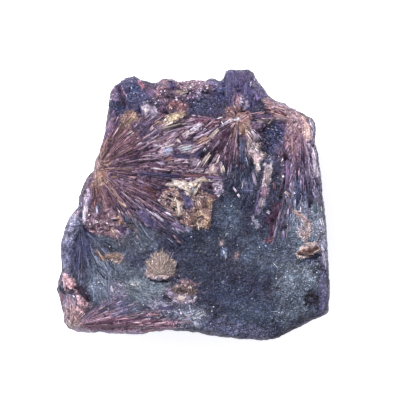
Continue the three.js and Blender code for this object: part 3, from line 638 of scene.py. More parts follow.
# %% The patches of the left edge
add_patches("left edge", [
    ("pinkish block", (128, 104, 116), 0,
     [(-31.6, -3), (-30.6, -1.4), (-27.6, -2.4), (-26.6, -1), (-22.4, -1.4), (-20.6, -5),
      (-19, -8.4), (-21, -9.4), (-24, -10.6), (-25.4, -9.2), (-28, -9.4), (-32, -7)]),
    ("mauve block", (156, 138, 160), .1,
     [(-23.4, -5.8), (-19.8, -6.4), (-19, -8.2), (-21.4, -9), (-23.4, -8.2)]),
    ("tan bits", (168, 138, 132), .1,
     [(-25.4, -6.4), (-24.2, -6), (-22.8, -8.6), (-23.6, -9.6), (-25.2, -8.4)]),
    ("gold bits", (172, 142, 126), .1,
     [(-23.4, -3.2), (-22, -3.4), (-20.8, -5.4), (-22, -6), (-23.6, -4.6)]),
    ("left sliver", (196, 182, 200), .2,
     [(-32.8, 2.6), (-31.4, 5.4), (-31, 3), (-31.6, -1.6), (-32.4, -6), (-33, -5)]),
    ("left edge", (120, 112, 136), 0, [(-34.6, 2.6), (-33, 2.6), (-33, -1.4), (-35, -.4)]),
    ("pink edge", (182, 160, 180), .1, [(-35.4, -1), (-33.6, -1.6), (-36.6, -5), (-38, -4.2)]),
])
OUTLINES = {name: outline for name, _, _, outline in PATCHES}

# %% [markdown]
# No mineral ends in a smooth line, so all edges are frayed by noise. A layer of noise is given
# by the length of its waves in millimetres, its weight and its seed.

# %% Where washes and patches lie
WASH_FRAY = [(2.4, 0.34, 1), (0.9, 0.26, 2)]
PATCH_FRAY = [(1.1, 0.8, 3), (0.45, 0.4, 4)]
PATCH_FADE = 0.5  # how wide a patch's edge fades, in millimetres


def fray(x, y, layers):
    """Smooth noise at points in millimetres, the sum of its layers."""
    return sum(weight * np.array([noise.noise((a / wave, b / wave, seed)) for a, b in zip(x, y)])
               for wave, weight, seed in layers)


def ellipse_share(x, y, middle, half, turn):
    """How far points lie out from the middle of an ellipse, 1 on its rim."""
    angle = math.radians(turn)
    dx, dy = x - middle[0], y - middle[1]
    along = dx * math.cos(angle) + dy * math.sin(angle)
    across = dy * math.cos(angle) - dx * math.sin(angle)
    return np.hypot(along / half[0], across / half[1])


def line_gaps(x, y, starts, ends):
    """How far each point lies from each of some straight lines, one row for each point."""
    way = ends - starts
    spot = np.column_stack([x, y])[:, None, :] - starts
    share = np.clip((spot * way).sum(2) / (way * way).sum(1), 0, 1)
    return np.linalg.norm(spot - share[:, :, None] * way, axis=2)


def outline_gap(x, y, outline):
    """How far points lie outside a closed outline, below 0 inside it."""
    a = np.array(outline, float)
    b = np.roll(a, -1, axis=0)
    gap = line_gaps(x, y, a, b).min(1)
    way = b - a
    crossed = (a[:, 1] > y[:, None]) != (b[:, 1] > y[:, None])
    rise = np.where(way[:, 1] == 0, 1, way[:, 1])
    ahead = x[:, None] < a[:, 0] + (y[:, None] - a[:, 1]) / rise * way[:, 0]
    inside = (crossed & ahead).sum(1) % 2 == 1
    return np.where(inside, -gap, gap)


def patch_covers(x, y):
    """For each patch: its colour, its rise, the points near it, and its share of each of them."""
    frayed = fray(x, y, PATCH_FRAY)
    for _, shade, rise, outline in PATCHES:
        low, high = np.min(outline, axis=0) - 1, np.max(outline, axis=0) + 1
        near = np.flatnonzero((x > low[0]) & (x < high[0]) & (y > low[1]) & (y < high[1]))
        gap = outline_gap(x[near], y[near], outline) + frayed[near]
        yield shade, rise, near, np.clip(0.5 - gap / PATCH_FADE, 0, 1)


middle_of_face = np.zeros(1)
tuft_gap = outline_gap(middle_of_face, middle_of_face, OUTLINES["tuft"])
print("the tuft lies", tuft_gap.round(1), "mm from the middle of the face")

# %% [markdown]
# The ground colour at any point is what the washes and patches give there, made uneven in
# brightness and in warmth. The skin shows it, and many crystals take it up from under them.

# %% The ground colour
BRIGHTNESS = [(3.4, 0.5, 8), (1.3, 0.6, 9)]
WARMTH = [(2.6, 0.22, 10)]
WARMER = (0.6, -0.1, -0.5)  # stops by which red, green and blue change with the warmth
CLUMPS = [(0.65, 1.6, 12)]
APART = 0.6  # stops by which neighbours differ
# painted highlight: a glint is colour made brighter, in place of light caught on a face
PAINTED_GLINT = 2.2  # stops by which a glint is brighter
YELLOWER = (0, 0.02, -0.03)  # stops by which red, green and blue change with the brightness
PALE_FROM, PALE_MOST = 0.8, 0.5  # where bright crystals start to turn grey, and how far they do
GREY = np.array((1, 0.96, 1.06))
BRIGHTEST = 0.5


def ground_colours(x, y):
    """The ground colour under each point, in linear RGB."""
    ragged = fray(x, y, WASH_FRAY)
    colour = np.tile(PAINT["dark slate"], (len(x), 1))
    for _, shade, middle, half, turn, soft in WASHES:
        share = ellipse_share(x, y, middle, half, turn) + ragged * (0.7 + soft)
        cover = np.clip((1 - share) / soft + 0.5, 0, 1)[:, None]
        colour = colour * (1 - cover) + linear(shade) / LIGHT_LEVEL * cover
    for shade, _, near, cover in patch_covers(x, y):
        cover = cover[:, None]
        colour[near] = colour[near] * (1 - cover) + linear(shade) / LIGHT_LEVEL * cover
    stops = fray(x, y, BRIGHTNESS)
    warmth = fray(x, y, WARMTH)
    return colour * 2 ** (stops[:, None] + warmth[:, None] * WARMER)


def local_tints(x, y, depth, painted_glint_share=0.02):
    """The ground colour under each point made darker or lighter by chance, with a few painted
    glints.
    """
    shift = depth * (APART * rng.normal(0, 1, len(x)) + fray(x, y, CLUMPS))
    shift += PAINTED_GLINT * (rng.uniform(0, 1, len(x)) < painted_glint_share)
    own = ground_colours(x, y) * 2 ** (shift[:, None] * YELLOWER)
    pale = np.clip(shift - PALE_FROM, 0, 1)[:, None] * PALE_MOST
    own = own * (1 - pale) + own.mean(1)[:, None] * GREY * pale
    return np.minimum(own * 2 ** shift[:, None], BRIGHTEST)


print("ground colour in the middle", ground_colours(middle_of_face, middle_of_face).round(3))

# %% [markdown]
# The skin is roughened by three layers of noise and by the patches' rises, which could be
# sculpted too, but noise is even and needs no hand. Only points that face up take the rises.

# %% The skin roughened
ROUGHNESS = [(3.1, 0.3), (1.3, 0.22), (0.62, 0.14)]  # length of the waves, height
SIDES, FACE = 0.35, 0.75  # how far up the normals of the sides and of the face point


def each_point(slot):
    """One triple for each point of the skin."""
    values = np.empty(len(rock.data.vertices) * 3)
    rock.data.vertices.foreach_get(slot, values)
    return values.reshape(-1, 3)


points, normals = each_point("co"), each_point("normal")
lift = np.zeros(len(points))
for wave, height in ROUGHNESS:
    lift += height * np.array([noise.noise(p) for p in points / MM / wave])
facing = np.clip((normals[:, 2] - SIDES) / (FACE - SIDES), 0, 1)  # 1 on the face, 0 on the sides
for _, rise, near, cover in patch_covers(points[:, 0] / MM, points[:, 1] / MM):
    lift[near] += rise * cover * facing[near]
points += normals * (lift * MM)[:, None]
points[:, 2] = np.maximum(points[:, 2], 0)
rock.data.vertices.foreach_set("co", points.ravel())
rock.data.update()
print("roughened by up to", round(float(lift.max()), 2), "mm")

# %% [markdown]
# The skin takes the ground colours, darkened as painted shade in the gaps between crystals. Down
# the sides they wander, so that few end in an upright line, and they give way to the greys of
# plain broken rock, which also make the back.

# %% The skin coloured
# painted shade: the skin is darkened by this share because it is seen in the gaps between crystals
GAP_SHADE = 0.72  # the skin is seen in the gaps between crystals, so it is darker
WANDER = 9  # millimetres by which a colour wanders sideways
BROKEN = [(66, 70, 92), (84, 80, 104), (108, 104, 118), (78, 88, 104)]
# A side keeps the face's colours from a height, more and more over a height, up to a share.
KEPT_FROM, KEPT_OVER, KEPT_MOST = 16, 14, 0.55

sway = WANDER * (1 - facing) * np.array([noise.noise(p) + 0.4 * noise.noise(p * 3.3)
                                         for p in points / MM / 7])
ground = GAP_SHADE * ground_colours(points[:, 0] / MM + sway, points[:, 1] / MM - 0.3 * sway)
drift = np.array([noise.noise(p) + 0.6 * noise.noise(p * 3.1) + 0.4 * noise.noise(p * 9)
                  for p in points / MM / 12])
place = np.clip((drift + 0.7) / 1.4, 0, 0.999) * (len(BROKEN) - 1)
steps = np.array([linear(shade) / LIGHT_LEVEL for shade in BROKEN])
share = (place % 1)[:, None]
broken = steps[place.astype(int)] * (1 - share) + steps[place.astype(int) + 1] * share
kept = facing + (1 - facing) * np.clip((points[:, 2] / MM - KEPT_FROM) / KEPT_OVER, 0, KEPT_MOST)
ground = ground ** kept[:, None] * broken ** (1 - kept)[:, None]
tint = rock.data.attributes.new("tint", "FLOAT_COLOR", "POINT")
tint.data.foreach_set("color", np.hstack([ground, np.ones((len(ground), 1))]).ravel())
print("mean colour of the skin", ground.mean(0).round(3))

# %% [markdown]
# The finishes. Rock and crystals share one effect, a fine grain that darkens and lightens the
# colour, so it is a node group. Its depth is in stops, as on a camera.


# %% The grain that both finishes share
def grain_group():
    """Colour in, grained colour and a height for bump out. Scale says how fine the grain is."""
    tree = bpy.data.node_groups.new("mineral_grain", "ShaderNodeTree")
    for name, kind in (("Color", "Color"), ("Vector", "Vector"), ("Scale", "Float"),
                       ("Depth", "Float")):
        tree.interface.new_socket(name, in_out="INPUT", socket_type="NodeSocket" + kind)
    for name, kind in (("Color", "Color"), ("Height", "Float")):
        tree.interface.new_socket(name, in_out="OUTPUT", socket_type="NodeSocket" + kind)
    given = tree.nodes.new("NodeGroupInput").outputs
    fine = add_node(tree, "ShaderNodeTexNoise",
                    {"Vector": given["Vector"], "Scale": given["Scale"], "Detail": 5.0,
                     "Roughness": 0.7})
    spread = add_node(tree, "ShaderNodeMapRange",
                      {"Value": fine.outputs["Fac"], "From Min": 0.3, "From Max": 0.7,
                       "To Min": -1.0, "To Max": 1.0})
    deep = add_node(tree, "ShaderNodeMath", {0: spread.outputs[0], 1: given["Depth"]},
                    operation="MULTIPLY")
    power = add_node(tree, "ShaderNodeMath", {0: 2.0, 1: deep.outputs[0]}, operation="POWER")
    scaled = add_node(tree, "ShaderNodeVectorMath",
                      {0: given["Color"], "Scale": power.outputs[0]}, operation="SCALE")
    add_node(tree, "NodeGroupOutput",
             {"Color": scaled.outputs[0], "Height": fine.outputs["Fac"]})
    return tree


GRAIN = grain_group()
print("grain group", len(GRAIN.nodes), "nodes")

# %% [markdown]
# The rock is like sugar: each of its grains has a brightness, a slope and a gloss of its own. A
# Voronoi pattern gives every grain three numbers by chance, one for each of these.

# %% The rock finish
sugary_rock, tree, shader = new_finish("sugary_rock")
coordinates = add_node(tree, "ShaderNodeTexCoord")
colour = add_node(tree, "ShaderNodeAttribute", attribute_name="tint")
coarse = add_node(tree, "ShaderNodeGroup",
                  {"Color": colour.outputs["Color"], "Vector": coordinates.outputs["Object"],
                   "Scale": 420.0, "Depth": 0.55}, node_tree=GRAIN)
cells = add_node(tree, "ShaderNodeTexVoronoi",
                 {"Vector": coordinates.outputs["Object"], "Scale": 2300.0})
chance = add_node(tree, "ShaderNodeSeparateColor", {"Color": cells.outputs["Color"]})
stops = add_node(tree, "ShaderNodeMapRange",
                 {"Value": chance.outputs["Red"], "To Min": -1.25, "To Max": 0.95})
power = add_node(tree, "ShaderNodeMath", {0: 2.0, 1: stops.outputs[0]}, operation="POWER")
grains = add_node(tree, "ShaderNodeVectorMath",
                  {0: coarse.outputs["Color"], "Scale": power.outputs[0]}, operation="SCALE")
bump = add_node(tree, "ShaderNodeBump",
                {"Height": chance.outputs["Green"], "Strength": 0.7, "Distance": 0.00025})
gloss = add_node(tree, "ShaderNodeMapRange",
                 {"Value": chance.outputs["Blue"], "To Min": 0.3, "To Max": 0.9})
glint = add_node(tree, "ShaderNodeMapRange",
                 {"Value": chance.outputs["Blue"], "From Min": 0.94, "From Max": 0.99,
                  "To Min": 0.15, "To Max": 1.0})
feed(tree, shader, {"Base Color": grains.outputs[0], "Normal": bump.outputs["Normal"],
                    "Roughness": gloss.outputs[0], "Specular IOR Level": glint.outputs[0]})
rock.data.materials.append(sugary_rock)
print("rock finish", len(tree.nodes), "nodes")

# %% [markdown]
# The crystals are glossier and have streaks along their length. The streaks are read from an
# attribute that holds each point's place along and across its own blade, so they turn with it.

# %% The crystal finish
bladed_crystal, tree, shader = new_finish("bladed_crystal")
colour = add_node(tree, "ShaderNodeAttribute", attribute_name="tint")
fibre = add_node(tree, "ShaderNodeAttribute", attribute_name="fibre")
stretch = add_node(tree, "ShaderNodeMapping", {"Vector": fibre.outputs["Vector"],
                                               "Scale": (1.3, 8.0, 1.0)})
streak = add_node(tree, "ShaderNodeGroup",
                  {"Color": colour.outputs["Color"], "Vector": stretch.outputs["Vector"],
                   "Scale": 1.0, "Depth": 1.1}, node_tree=GRAIN)
bump = add_node(tree, "ShaderNodeBump",
                {"Height": streak.outputs["Height"], "Strength": 0.5, "Distance": 0.0001})
feed(tree, shader, {"Base Color": streak.outputs["Color"], "Normal": bump.outputs["Normal"],
                    "Roughness": 0.38, "Specular IOR Level": 0.28})
print("crystal finish", len(tree.nodes), "nodes")

# %% [markdown]
# Small pieces are modelled once and copied many times. Each model fills a box of size one, so a
# copy's length, width and thickness can be given when it is laid. A blade is a bar with two
# squeezed ends, a chip is a lump with its corners knocked about.


# %% One blade and one chip
def net_of(piece):
    """The points and the faces' corners of a model, which is then removed."""
    mesh = piece.data
    corners = [tuple(face.vertices) for face in mesh.polygons]
    net = (np.array([v.co for v in mesh.vertices]), corners)
    bpy.data.objects.remove(piece)
    return net


def squeeze_end(piece, side, width, height):
    """Scales the end of a bar that lies at x = side."""
    for vertex in piece.data.vertices:
        vertex.select = abs(vertex.co.x - side) < 0.01
    bpy.ops.object.mode_set(mode="EDIT")
    bpy.ops.transform.resize(value=(1, width, height))
    bpy.ops.object.mode_set(mode="OBJECT")


def one_blade():
    """A bar from x = 0 to x = 1, narrow at its root and thin at its tip."""
    bpy.ops.object.select_all(action="DESELECT")
    bpy.ops.mesh.primitive_cube_add(size=1, location=(0.5, 0, 0))
    bar = bpy.context.object
    bpy.ops.object.transform_apply(location=True)
    bpy.context.tool_settings.mesh_select_mode = (True, False, False)
    bpy.ops.object.mode_set(mode="EDIT")
    bpy.ops.mesh.select_all(action="DESELECT")
    bpy.ops.object.mode_set(mode="OBJECT")
    squeeze_end(bar, 0, 0.35, 0.6)
    squeeze_end(bar, 1, 0.6, 0.3)
    return net_of(bar)


def one_chip():
    """A small lump with twenty uneven faces."""
    bpy.ops.object.select_all(action="DESELECT")
    bpy.ops.mesh.primitive_ico_sphere_add(subdivisions=1, radius=0.5)
    lump = bpy.context.object
    bpy.ops.object.mode_set(mode="EDIT")
    bpy.ops.mesh.select_all(action="SELECT")
    bpy.ops.transform.vertex_random(offset=0.16, seed=3)
    bpy.ops.object.mode_set(mode="OBJECT")
    return net_of(lump)


BLADE = one_blade()
CHIP = one_chip()
print("blade", len(BLADE[1]), "faces, chip", len(CHIP[1]), "faces")

# %% [markdown]
# Thousands of copies would be slow as objects of their own, so a piece is one mesh in which all
# its copies are joined. Each point stores its colour and its place on its blade.


# %% Many copies joined to one piece
def store(mesh, name, kind, slot, values):
    """Keeps one value for each point of a mesh under a name."""
    mesh.attributes.new(name, kind, "POINT").data.foreach_set(slot, values.ravel())


def copies_mesh(name, net, roots, axes):
    """One mesh of many copies of a net. Roots are where each copy's own origin goes, and axes
    hold each copy's sides as columns, all in millimetres."""
    model, faces = net
    count, size = len(roots), len(model)
    spots = np.einsum("mij,nj->mni", axes, model) + roots[:, None, :]
    corners = np.concatenate([np.array(face) for face in faces])
    sides = np.tile([len(face) for face in faces], count)
    mesh = bpy.data.meshes.new(name)
    mesh.vertices.add(count * size)
    mesh.vertices.foreach_set("co", (spots * MM).ravel())
    mesh.loops.add(count * len(corners))
    index = corners[None, :] + (np.arange(count) * size)[:, None]
    mesh.loops.foreach_set("vertex_index", index.ravel().astype(np.int32))
    mesh.polygons.add(len(sides))
    starts = np.concatenate([[0], np.cumsum(sides)[:-1]])
    mesh.polygons.foreach_set("loop_start", starts.astype(np.int32))
    mesh.update(calc_edges=True)
    print(name, count, "copies", int((sides - 2).sum()), "triangles")
    return mesh


def join_copies(name, net, roots, axes, tints):
    """Makes a piece of many copies. Tints hold each copy's colour at its start and its end."""
    model = net[0]
    mesh = copies_mesh(name, net, roots, axes)
    count, size = len(roots), len(model)
    length = np.linalg.norm(axes[:, :, 0], axis=1)
    width = np.linalg.norm(axes[:, :, 1], axis=1)
    fibre_place = np.empty((count, size, 3))
    fibre_place[:, :, 0] = length[:, None] * model[None, :, 0]
    fibre_place[:, :, 1] = width[:, None] * model[None, :, 1]
    fibre_place[:, :, 2] = rng.uniform(0, 50, count)[:, None]
    store(mesh, "fibre", "FLOAT_VECTOR", "vector", fibre_place)
    along = np.clip(model[:, 0], 0, 1)[None, :, None]
    shade = np.ones((count, size, 4))
    shade[:, :, :3] = tints[:, :1] * (1 - along) + tints[:, 1:] * along
    store(mesh, "tint", "FLOAT_COLOR", "color", shade)
    mesh.materials.append(bladed_crystal)
    piece = bpy.data.objects.new(name, mesh)
    bpy.context.collection.objects.link(piece)
    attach(piece, "root")


# %% [markdown]
# Each bar is laid from one point of the skin to another, half sunk, and sags where the skin
# sags between them. Rays cast straight down find the skin's height.

# %% Laying bars on the face
skin = BVHTree.FromObject(rock, bpy.context.evaluated_depsgraph_get())
SKY = 60 * MM
FACE_LEVEL = 12 * MM  # what lies lower belongs to the sides


def height_at(x, y):
    """The height of the skin above (x, y), all in millimetres, or NaN beyond the edge."""
    hit = skin.ray_cast(Vector((x * MM, y * MM, SKY)), Vector((0, 0, -1)))[0]
    return hit.z / MM if hit and hit.z > FACE_LEVEL else math.nan


def heights(x, y):
    """The height of the skin at each of many points."""
    return np.array([height_at(a, b) for a, b in zip(x, y)])


def lay_bars(start, end, width, thick, proud, roll):
    """Roots and axes of bars that lie on the skin from start to end, and which bars they are:
    a bar that runs off the edge is left out."""
    middle = (start + end) / 2
    z0, z1, zm = (heights(p[:, 0], p[:, 1]) for p in (start, end, middle))
    sag = np.minimum(0, zm - (z0 + z1) / 2)
    ok = ~np.isnan(z0 + z1 + zm)
    low = proud - thick / 2 + sag
    a = np.column_stack([start, z0 + low])[ok]
    b = np.column_stack([end, z1 + low])[ok]
    along = b - a
    flat = np.column_stack([-along[:, 1], along[:, 0], np.zeros(len(along))])
    across = flat / np.linalg.norm(flat, axis=1)[:, None]
    up = np.cross(along, across)
    up /= np.linalg.norm(up, axis=1)[:, None]
    turn = np.radians(roll)[ok, None]
    side = across * np.cos(turn) + up * np.sin(turn)
    top = up * np.cos(turn) - across * np.sin(turn)
    axes = np.stack([along, side * width[ok, None], top * thick[ok, None]], axis=2)
    return a, axes, ok


print("the face is", round(height_at(0, 0), 1), "mm high in its middle")

# %% [markdown]
# The streaks are the blades that stand out one by one: pale cleavage slivers, dark blades that
# are painted shade in gaps and painted shadows, small bright spots. Chance would put them
# anywhere, so each is given by its two ends and its width. They are listed now, so that other
# crystals can keep clear of them, and are laid last.

# %% The streaks of the upper left
STREAKS = {}


def add_streaks(piece, groups):
    """Lists a piece's streaks under their colours, each as x, y, x, y and width."""
    STREAKS[piece] = groups
    print(piece, sum(len(spans) for spans in groups.values()), "streaks")


add_streaks("streaks_upper_left", {
    "ink plum": [(-22.3, 36, -20.4, 29.8, 1), (-17, 15, -12.4, 17, 1.1), (-10.5, 21.8, 3, 25, .7)],
    "ink": [(-16, 28.4, -15, 24.4, .6), (-19.6, 29.4, -16, 28.4, .5),
            (-19.9, 20.4, -18.2, 21.6, .3)],
    "dark plum": [(-23, 13.3, -14, 15.3, .9)],
    "rose tan": [(-10.4, 23.8, -9.3, 24.7, .7), (-15.8, 36, -15.3, 35.3, .4)],
    "white": [(-8.6, 24.9, -7.9, 25.6, .7)],
    "lilac white": [(-16.8, 17.8, -15.2, 18.6, .5), (-11.9, 17.7, -10.3, 17.6, .9)],
    "lilac grey": [(-20.2, 33.2, -19.9, 32.2, .4), (-13.6, 18.6, -12.9, 18, .6),
                   (-14.8, 29.8, -13.2, 27.2, 2.6), (-12.4, 29.4, -11.2, 26.6, 2.4),
                   (-13.9, 24.6, -11, 26.6, .4), (-14.5, 25.4, -12.8, 27, .3),
                   (-9.5, 21.1, -5, 22.5, .35)],
    "pale rose": [(-10.6, 15.4, -8.8, 15.9, 1), (-24, 20.3, -22.3, 23, .5),
                  (-12.9, 22, -11.9, 23.3, 1)],
    "cream": [(-19.6, 20.9, -17.8, 22.2, .3), (-8.7, 23.5, -5.4, 24.9, .6),
              (-9.4, 16.8, -5.2, 18, .35), (-14.6, 29, -13.6, 27.4, 1)],
    "pale yellow": [(-7.2, 25.2, -4.4, 26.8, 1.4), (-18.2, 26.4, -17.2, 25.6, .6)],
    "golden tan": [(-21.5, 25, -20.9, 26.1, .5), (-4.3, 26.4, -2.3, 27.6, 1.1),
                   (-19.6, 24.6, -17.4, 27.4, 2), (-12.4, 23.6, -9.6, 25.2, .5)],
    "brick": [(-4, 29.4, -2, 28.8, 1), (-6.6, 30.2, -5.2, 29.6, 1), (-15.2, 35, -14.6, 34.6, .8),
              (-19.7, 27.2, -18.9, 26.4, .5)],
    "olive": [(-9.4, 22.6, -4, 24, .6), (-3.6, 33.2, -1.6, 33.7, .6)],
    "violet mauve": [(-24.4, 26.3, -23.6, 28.3, .5), (-13.8, 34.4, -11.8, 32.8, 2)],
    "mauve": [(-6, 33.6, -4.4, 33, .8), (-21.5, 36.2, -20.3, 33, .5)],
    "clay": [(-6.5, 27, -4.5, 27.6, .4)],
    "peak violet": [(-7.4, 36.4, -5.6, 34.8, 1.6)],
})

# %% [markdown]
# The knobs of the top edge are parted by short dark streaks, painted shade in the gaps between
# them, and have pale faces.

# %% The streaks of the top edge
add_streaks("streaks_top_edge", {
    "ink": [(-9, 34.6, -6, 34.8, .7), (-9.6, 33.2, -8.8, 32.6, .5), (-6.6, 33.6, -6, 31.8, 1.3),
            (-8.6, 32.4, -7, 32, 1), (-2.2, 33.6, -1.4, 33, .4), (-9.8, 28, -7.4, 27.4, .8),
            (2.8, 33.6, 4.4, 33.4, .7), (-4, 31.8, -3.2, 30.8, .4)],
    "ink plum": [(-7.2, 36.8, -6.4, 34.8, .9), (-9.6, 36, -8, 35.4, .5), (-5, 34.9, -3.6, 34.3, .5),
                 (-4.2, 36.6, -3.4, 36, .4), (-1.2, 30.2, -.4, 29.2, .8), (-.4, 31.8, .2, 31, .5)],
    "navy": [(.8, 31.8, 1.6, 30.6, .6)],
    "blue slate": [(2.4, 30.4, 4, 29.6, .9), (1.4, 28.4, 2.6, 28, .8)],
    "violet slate": [(5, 33.6, 9, 33, 1.2)],
    "peak violet": [(-6, 37, -5.6, 35.4, .8)],
    "pale slate": [(7.4, 33.9, 8.8, 34, .3)],
    "lilac grey": [(-3, 32.4, -1.6, 33, .5)],
    "pale rose": [(3.6, 35.6, 4.6, 35.4, .5), (-1.8, 35, -.4, 35.6, .7), (-.6, 36, .2, 36.2, .6),
                  (3, 36.6, 4, 36.8, .5)],
    "lilac white": [(-12, 31.8, -11, 30.2, 1), (4, 35, 4.4, 34.6, .9), (1.2, 34, 2, 33, .9),
                    (-10.4, 31.4, -10.2, 30.8, .4), (-9.9, 33.2, -9.6, 32.8, .4),
                    (-.4, 26.7, .9, 26.6, .3)],
    "mauve": [(-9.6, 31.6, -8.6, 30.2, .5), (-8.8, 31.8, -7.8, 30.4, .4),
              (-11.8, 34.4, -10.4, 33, 1)],
    "rose tan": [(-9.4, 36.6, -7.8, 37, .4), (-9.8, 35, -8.6, 34.6, .5), (-3, 35.2, -1.8, 34.8, .4),
                 (-11, 33.4, -10.2, 32.8, .6)],
    "violet mauve": [(4.4, 36.8, 5.6, 35.8, .9)],
})

# %% [markdown]
# Between the left spray and the star the slivers are broad and pale.

# %% The streaks between the sprays
add_streaks("streaks_between", {
    "lilac white": [(.7, 23, 2.7, 24, .8), (3.1, 22.3, 3.7, 22.8, .4), (-1, 22.1, .2, 22.8, .6)],
    "white": [(-.8, 22, 1, 23.2, .9), (3.1, 15.7, 3.8, 16.7, .8), (-12.3, 10.9, -9.8, 10.6, .6)],
    "cream": [(-3.1, 20.4, -1.2, 22, 1.2), (-4.8, 19.6, -3.9, 18.6, .9), (2.5, 11.4, 5, 15.2, 1.6),
              (5.2, 20, 7.5, 22.6, 1.3)],
    "pale rose": [(-12.2, 10.8, -7.3, 10.3, .5), (-9.8, 16.4, -8.8, 17, .6)],
    "lilac grey": [(4, 16.3, 5, 18.4, .4), (2.2, 22.2, 2.7, 22.9, .5), (1.2, 20.9, 4.4, 22.5, .3),
                   (-6, 19.2, -3, 18, .4), (-11, 12.6, -8, 12, .8)],
    "clay": [(1.4, 18.6, 4.8, 20.3, 1.5)],
    "ink": [(2.2, 14.2, 4.7, 17, 1.4), (-14.5, 8.7, -6.5, 7.2, .35), (-14, 9.7, -8, 9, .3),
            (-12.5, 12.9, -9.6, 13, .4), (4.4, 12.2, 6.6, 15.6, .9)],
    "ice": [(-8.7, 15.7, -6.4, 16.6, 1.4), (-9.4, 12.4, -8.8, 11.8, .6)],
    "green white": [(-3.7, 16.4, -.6, 17.1, 1.5)],
    "rust": [(-8.4, 13.4, -6.2, 14.1, .7)],
    "violet slate": [(-6, 14.8, -1, 14.4, 1.4), (-16, 9.5, -4, 8.4, 1.2),
                     (-.5, 13.6, 2.4, 16, 1.4)],
    "brick": [(-4, 8.8, 4, 8.6, 1), (-16, 5, -11, 3.9, .8)],
    "violet mauve": [(.1, 20.2, 3.8, 22, .5), (-3, 19.2, 0, 18.6, 1), (3.5, 8.4, 9.5, 7.8, .8),
                     (7.5, 9, 8.1, 12.6, .6)],
})

# %% [markdown]
# White slivers run out of the star's centre, and the crystal behind it has a bright face.

# %% The streaks of the star
add_streaks("streaks_star", {
    "white": [(7.2, 25.6, 8.8, 26.2, .3), (8.4, 25, 9.2, 23.7, .4), (9.6, 24.2, 11.9, 25.2, 1.1),
              (12.6, 25.2, 14.2, 25.7, .5), (13.2, 24.6, 13.6, 26, .4),
              (14.7, 30.3, 14.9, 30.8, 1.1), (17.1, 35.5, 17.4, 36.8, .35),
              (18.3, 37.6, 18.7, 37.2, .4)],
    "pale rose": [(14, 25.4, 16.4, 27, .5), (13.6, 28.4, 14.3, 32.6, 1.2),
                  (18.6, 15.6, 19.2, 12, 1.3), (11.4, 23, 12.4, 24.4, .8)],
    "cream": [(6.3, 10.8, 8.6, 15.6, .6), (8.9, 8.8, 8.7, 12.6, 1.6), (18.2, 18.4, 20.4, 16.5, 1.4),
              (20.2, 15, 21.6, 14.5, 1), (18.9, 13, 19.8, 10.4, .9), (22.2, 23.3, 23.7, 25.4, .5),
              (5.2, 9.2, 6.4, 11.6, .8)],
    "lilac grey": [(15.6, 17, 16, 14.8, .4), (-.7, 11.4, .9, 13.4, .8), (16, 20.6, 17.2, 17.4, .5),
                   (5.9, 16.2, 7.9, 18.9, 1), (15.4, 28.8, 16.6, 31.2, .9),
                   (18, 9.4, 18.7, 5.8, 1)],
    "dark plum": [(5.6, 17.5, 10.5, 22.5, 1.1), (8, 15.8, 11, 22, 1.2)],
    "ink plum": [(15.2, 26.6, 16.8, 27.6, .5), (12.2, 28.6, 12.9, 27, .5)],
    "ink": [(9.9, 9, 10.4, 15, .6), (13, 27.8, 15.6, 27.9, .4), (17.6, 35, 17.9, 35.9, .8),
            (21.1, 11.6, 20.3, 5.5, .7), (17.2, 15, 17.8, 11.5, .8)],
    "gold brown": [(14.4, 24, 15, 21.2, 1.5), (12.9, 24, 12.2, 19.6, .8), (16, 25.6, 17.4, 24, 1)],
    "blue slate": [(14.6, 19, 14.4, 12.6, 1.1)],
    "olive": [(16.3, 18.8, 16.8, 16.2, .8)],
    "violet mauve": [(18.4, 26.4, 23.4, 26.6, .7)],
    "rose tan": [(10.4, 27.4, 12.2, 26.2, .5), (16, 26.7, 22, 27.7, .8)],
    "lilac white": [(8, 23.3, 11.2, 25, .7), (17.2, 22.6, 20, 19.4, 1.4)],
    "mauve": [(9.4, 12.4, 9.8, 15, .4), (8.8, 14, 10, 17, .4), (16.9, 23.8, 18, 22.4, .6),
              (17.4, 24, 20.6, 22.6, 1.8), (13.3, 33.4, 13.5, 31.4, .8)],
    "violet slate": [(20.2, 5.5, 18, -2.2, .8)],
    "warm grey": [(18.8, 25, 22, 24.6, .8)],
    "plum": [(11.4, 13, 12, 18, .3)],
})

# %% [markdown]
# Right of the star long grey and lilac blades hang down to the matrix.

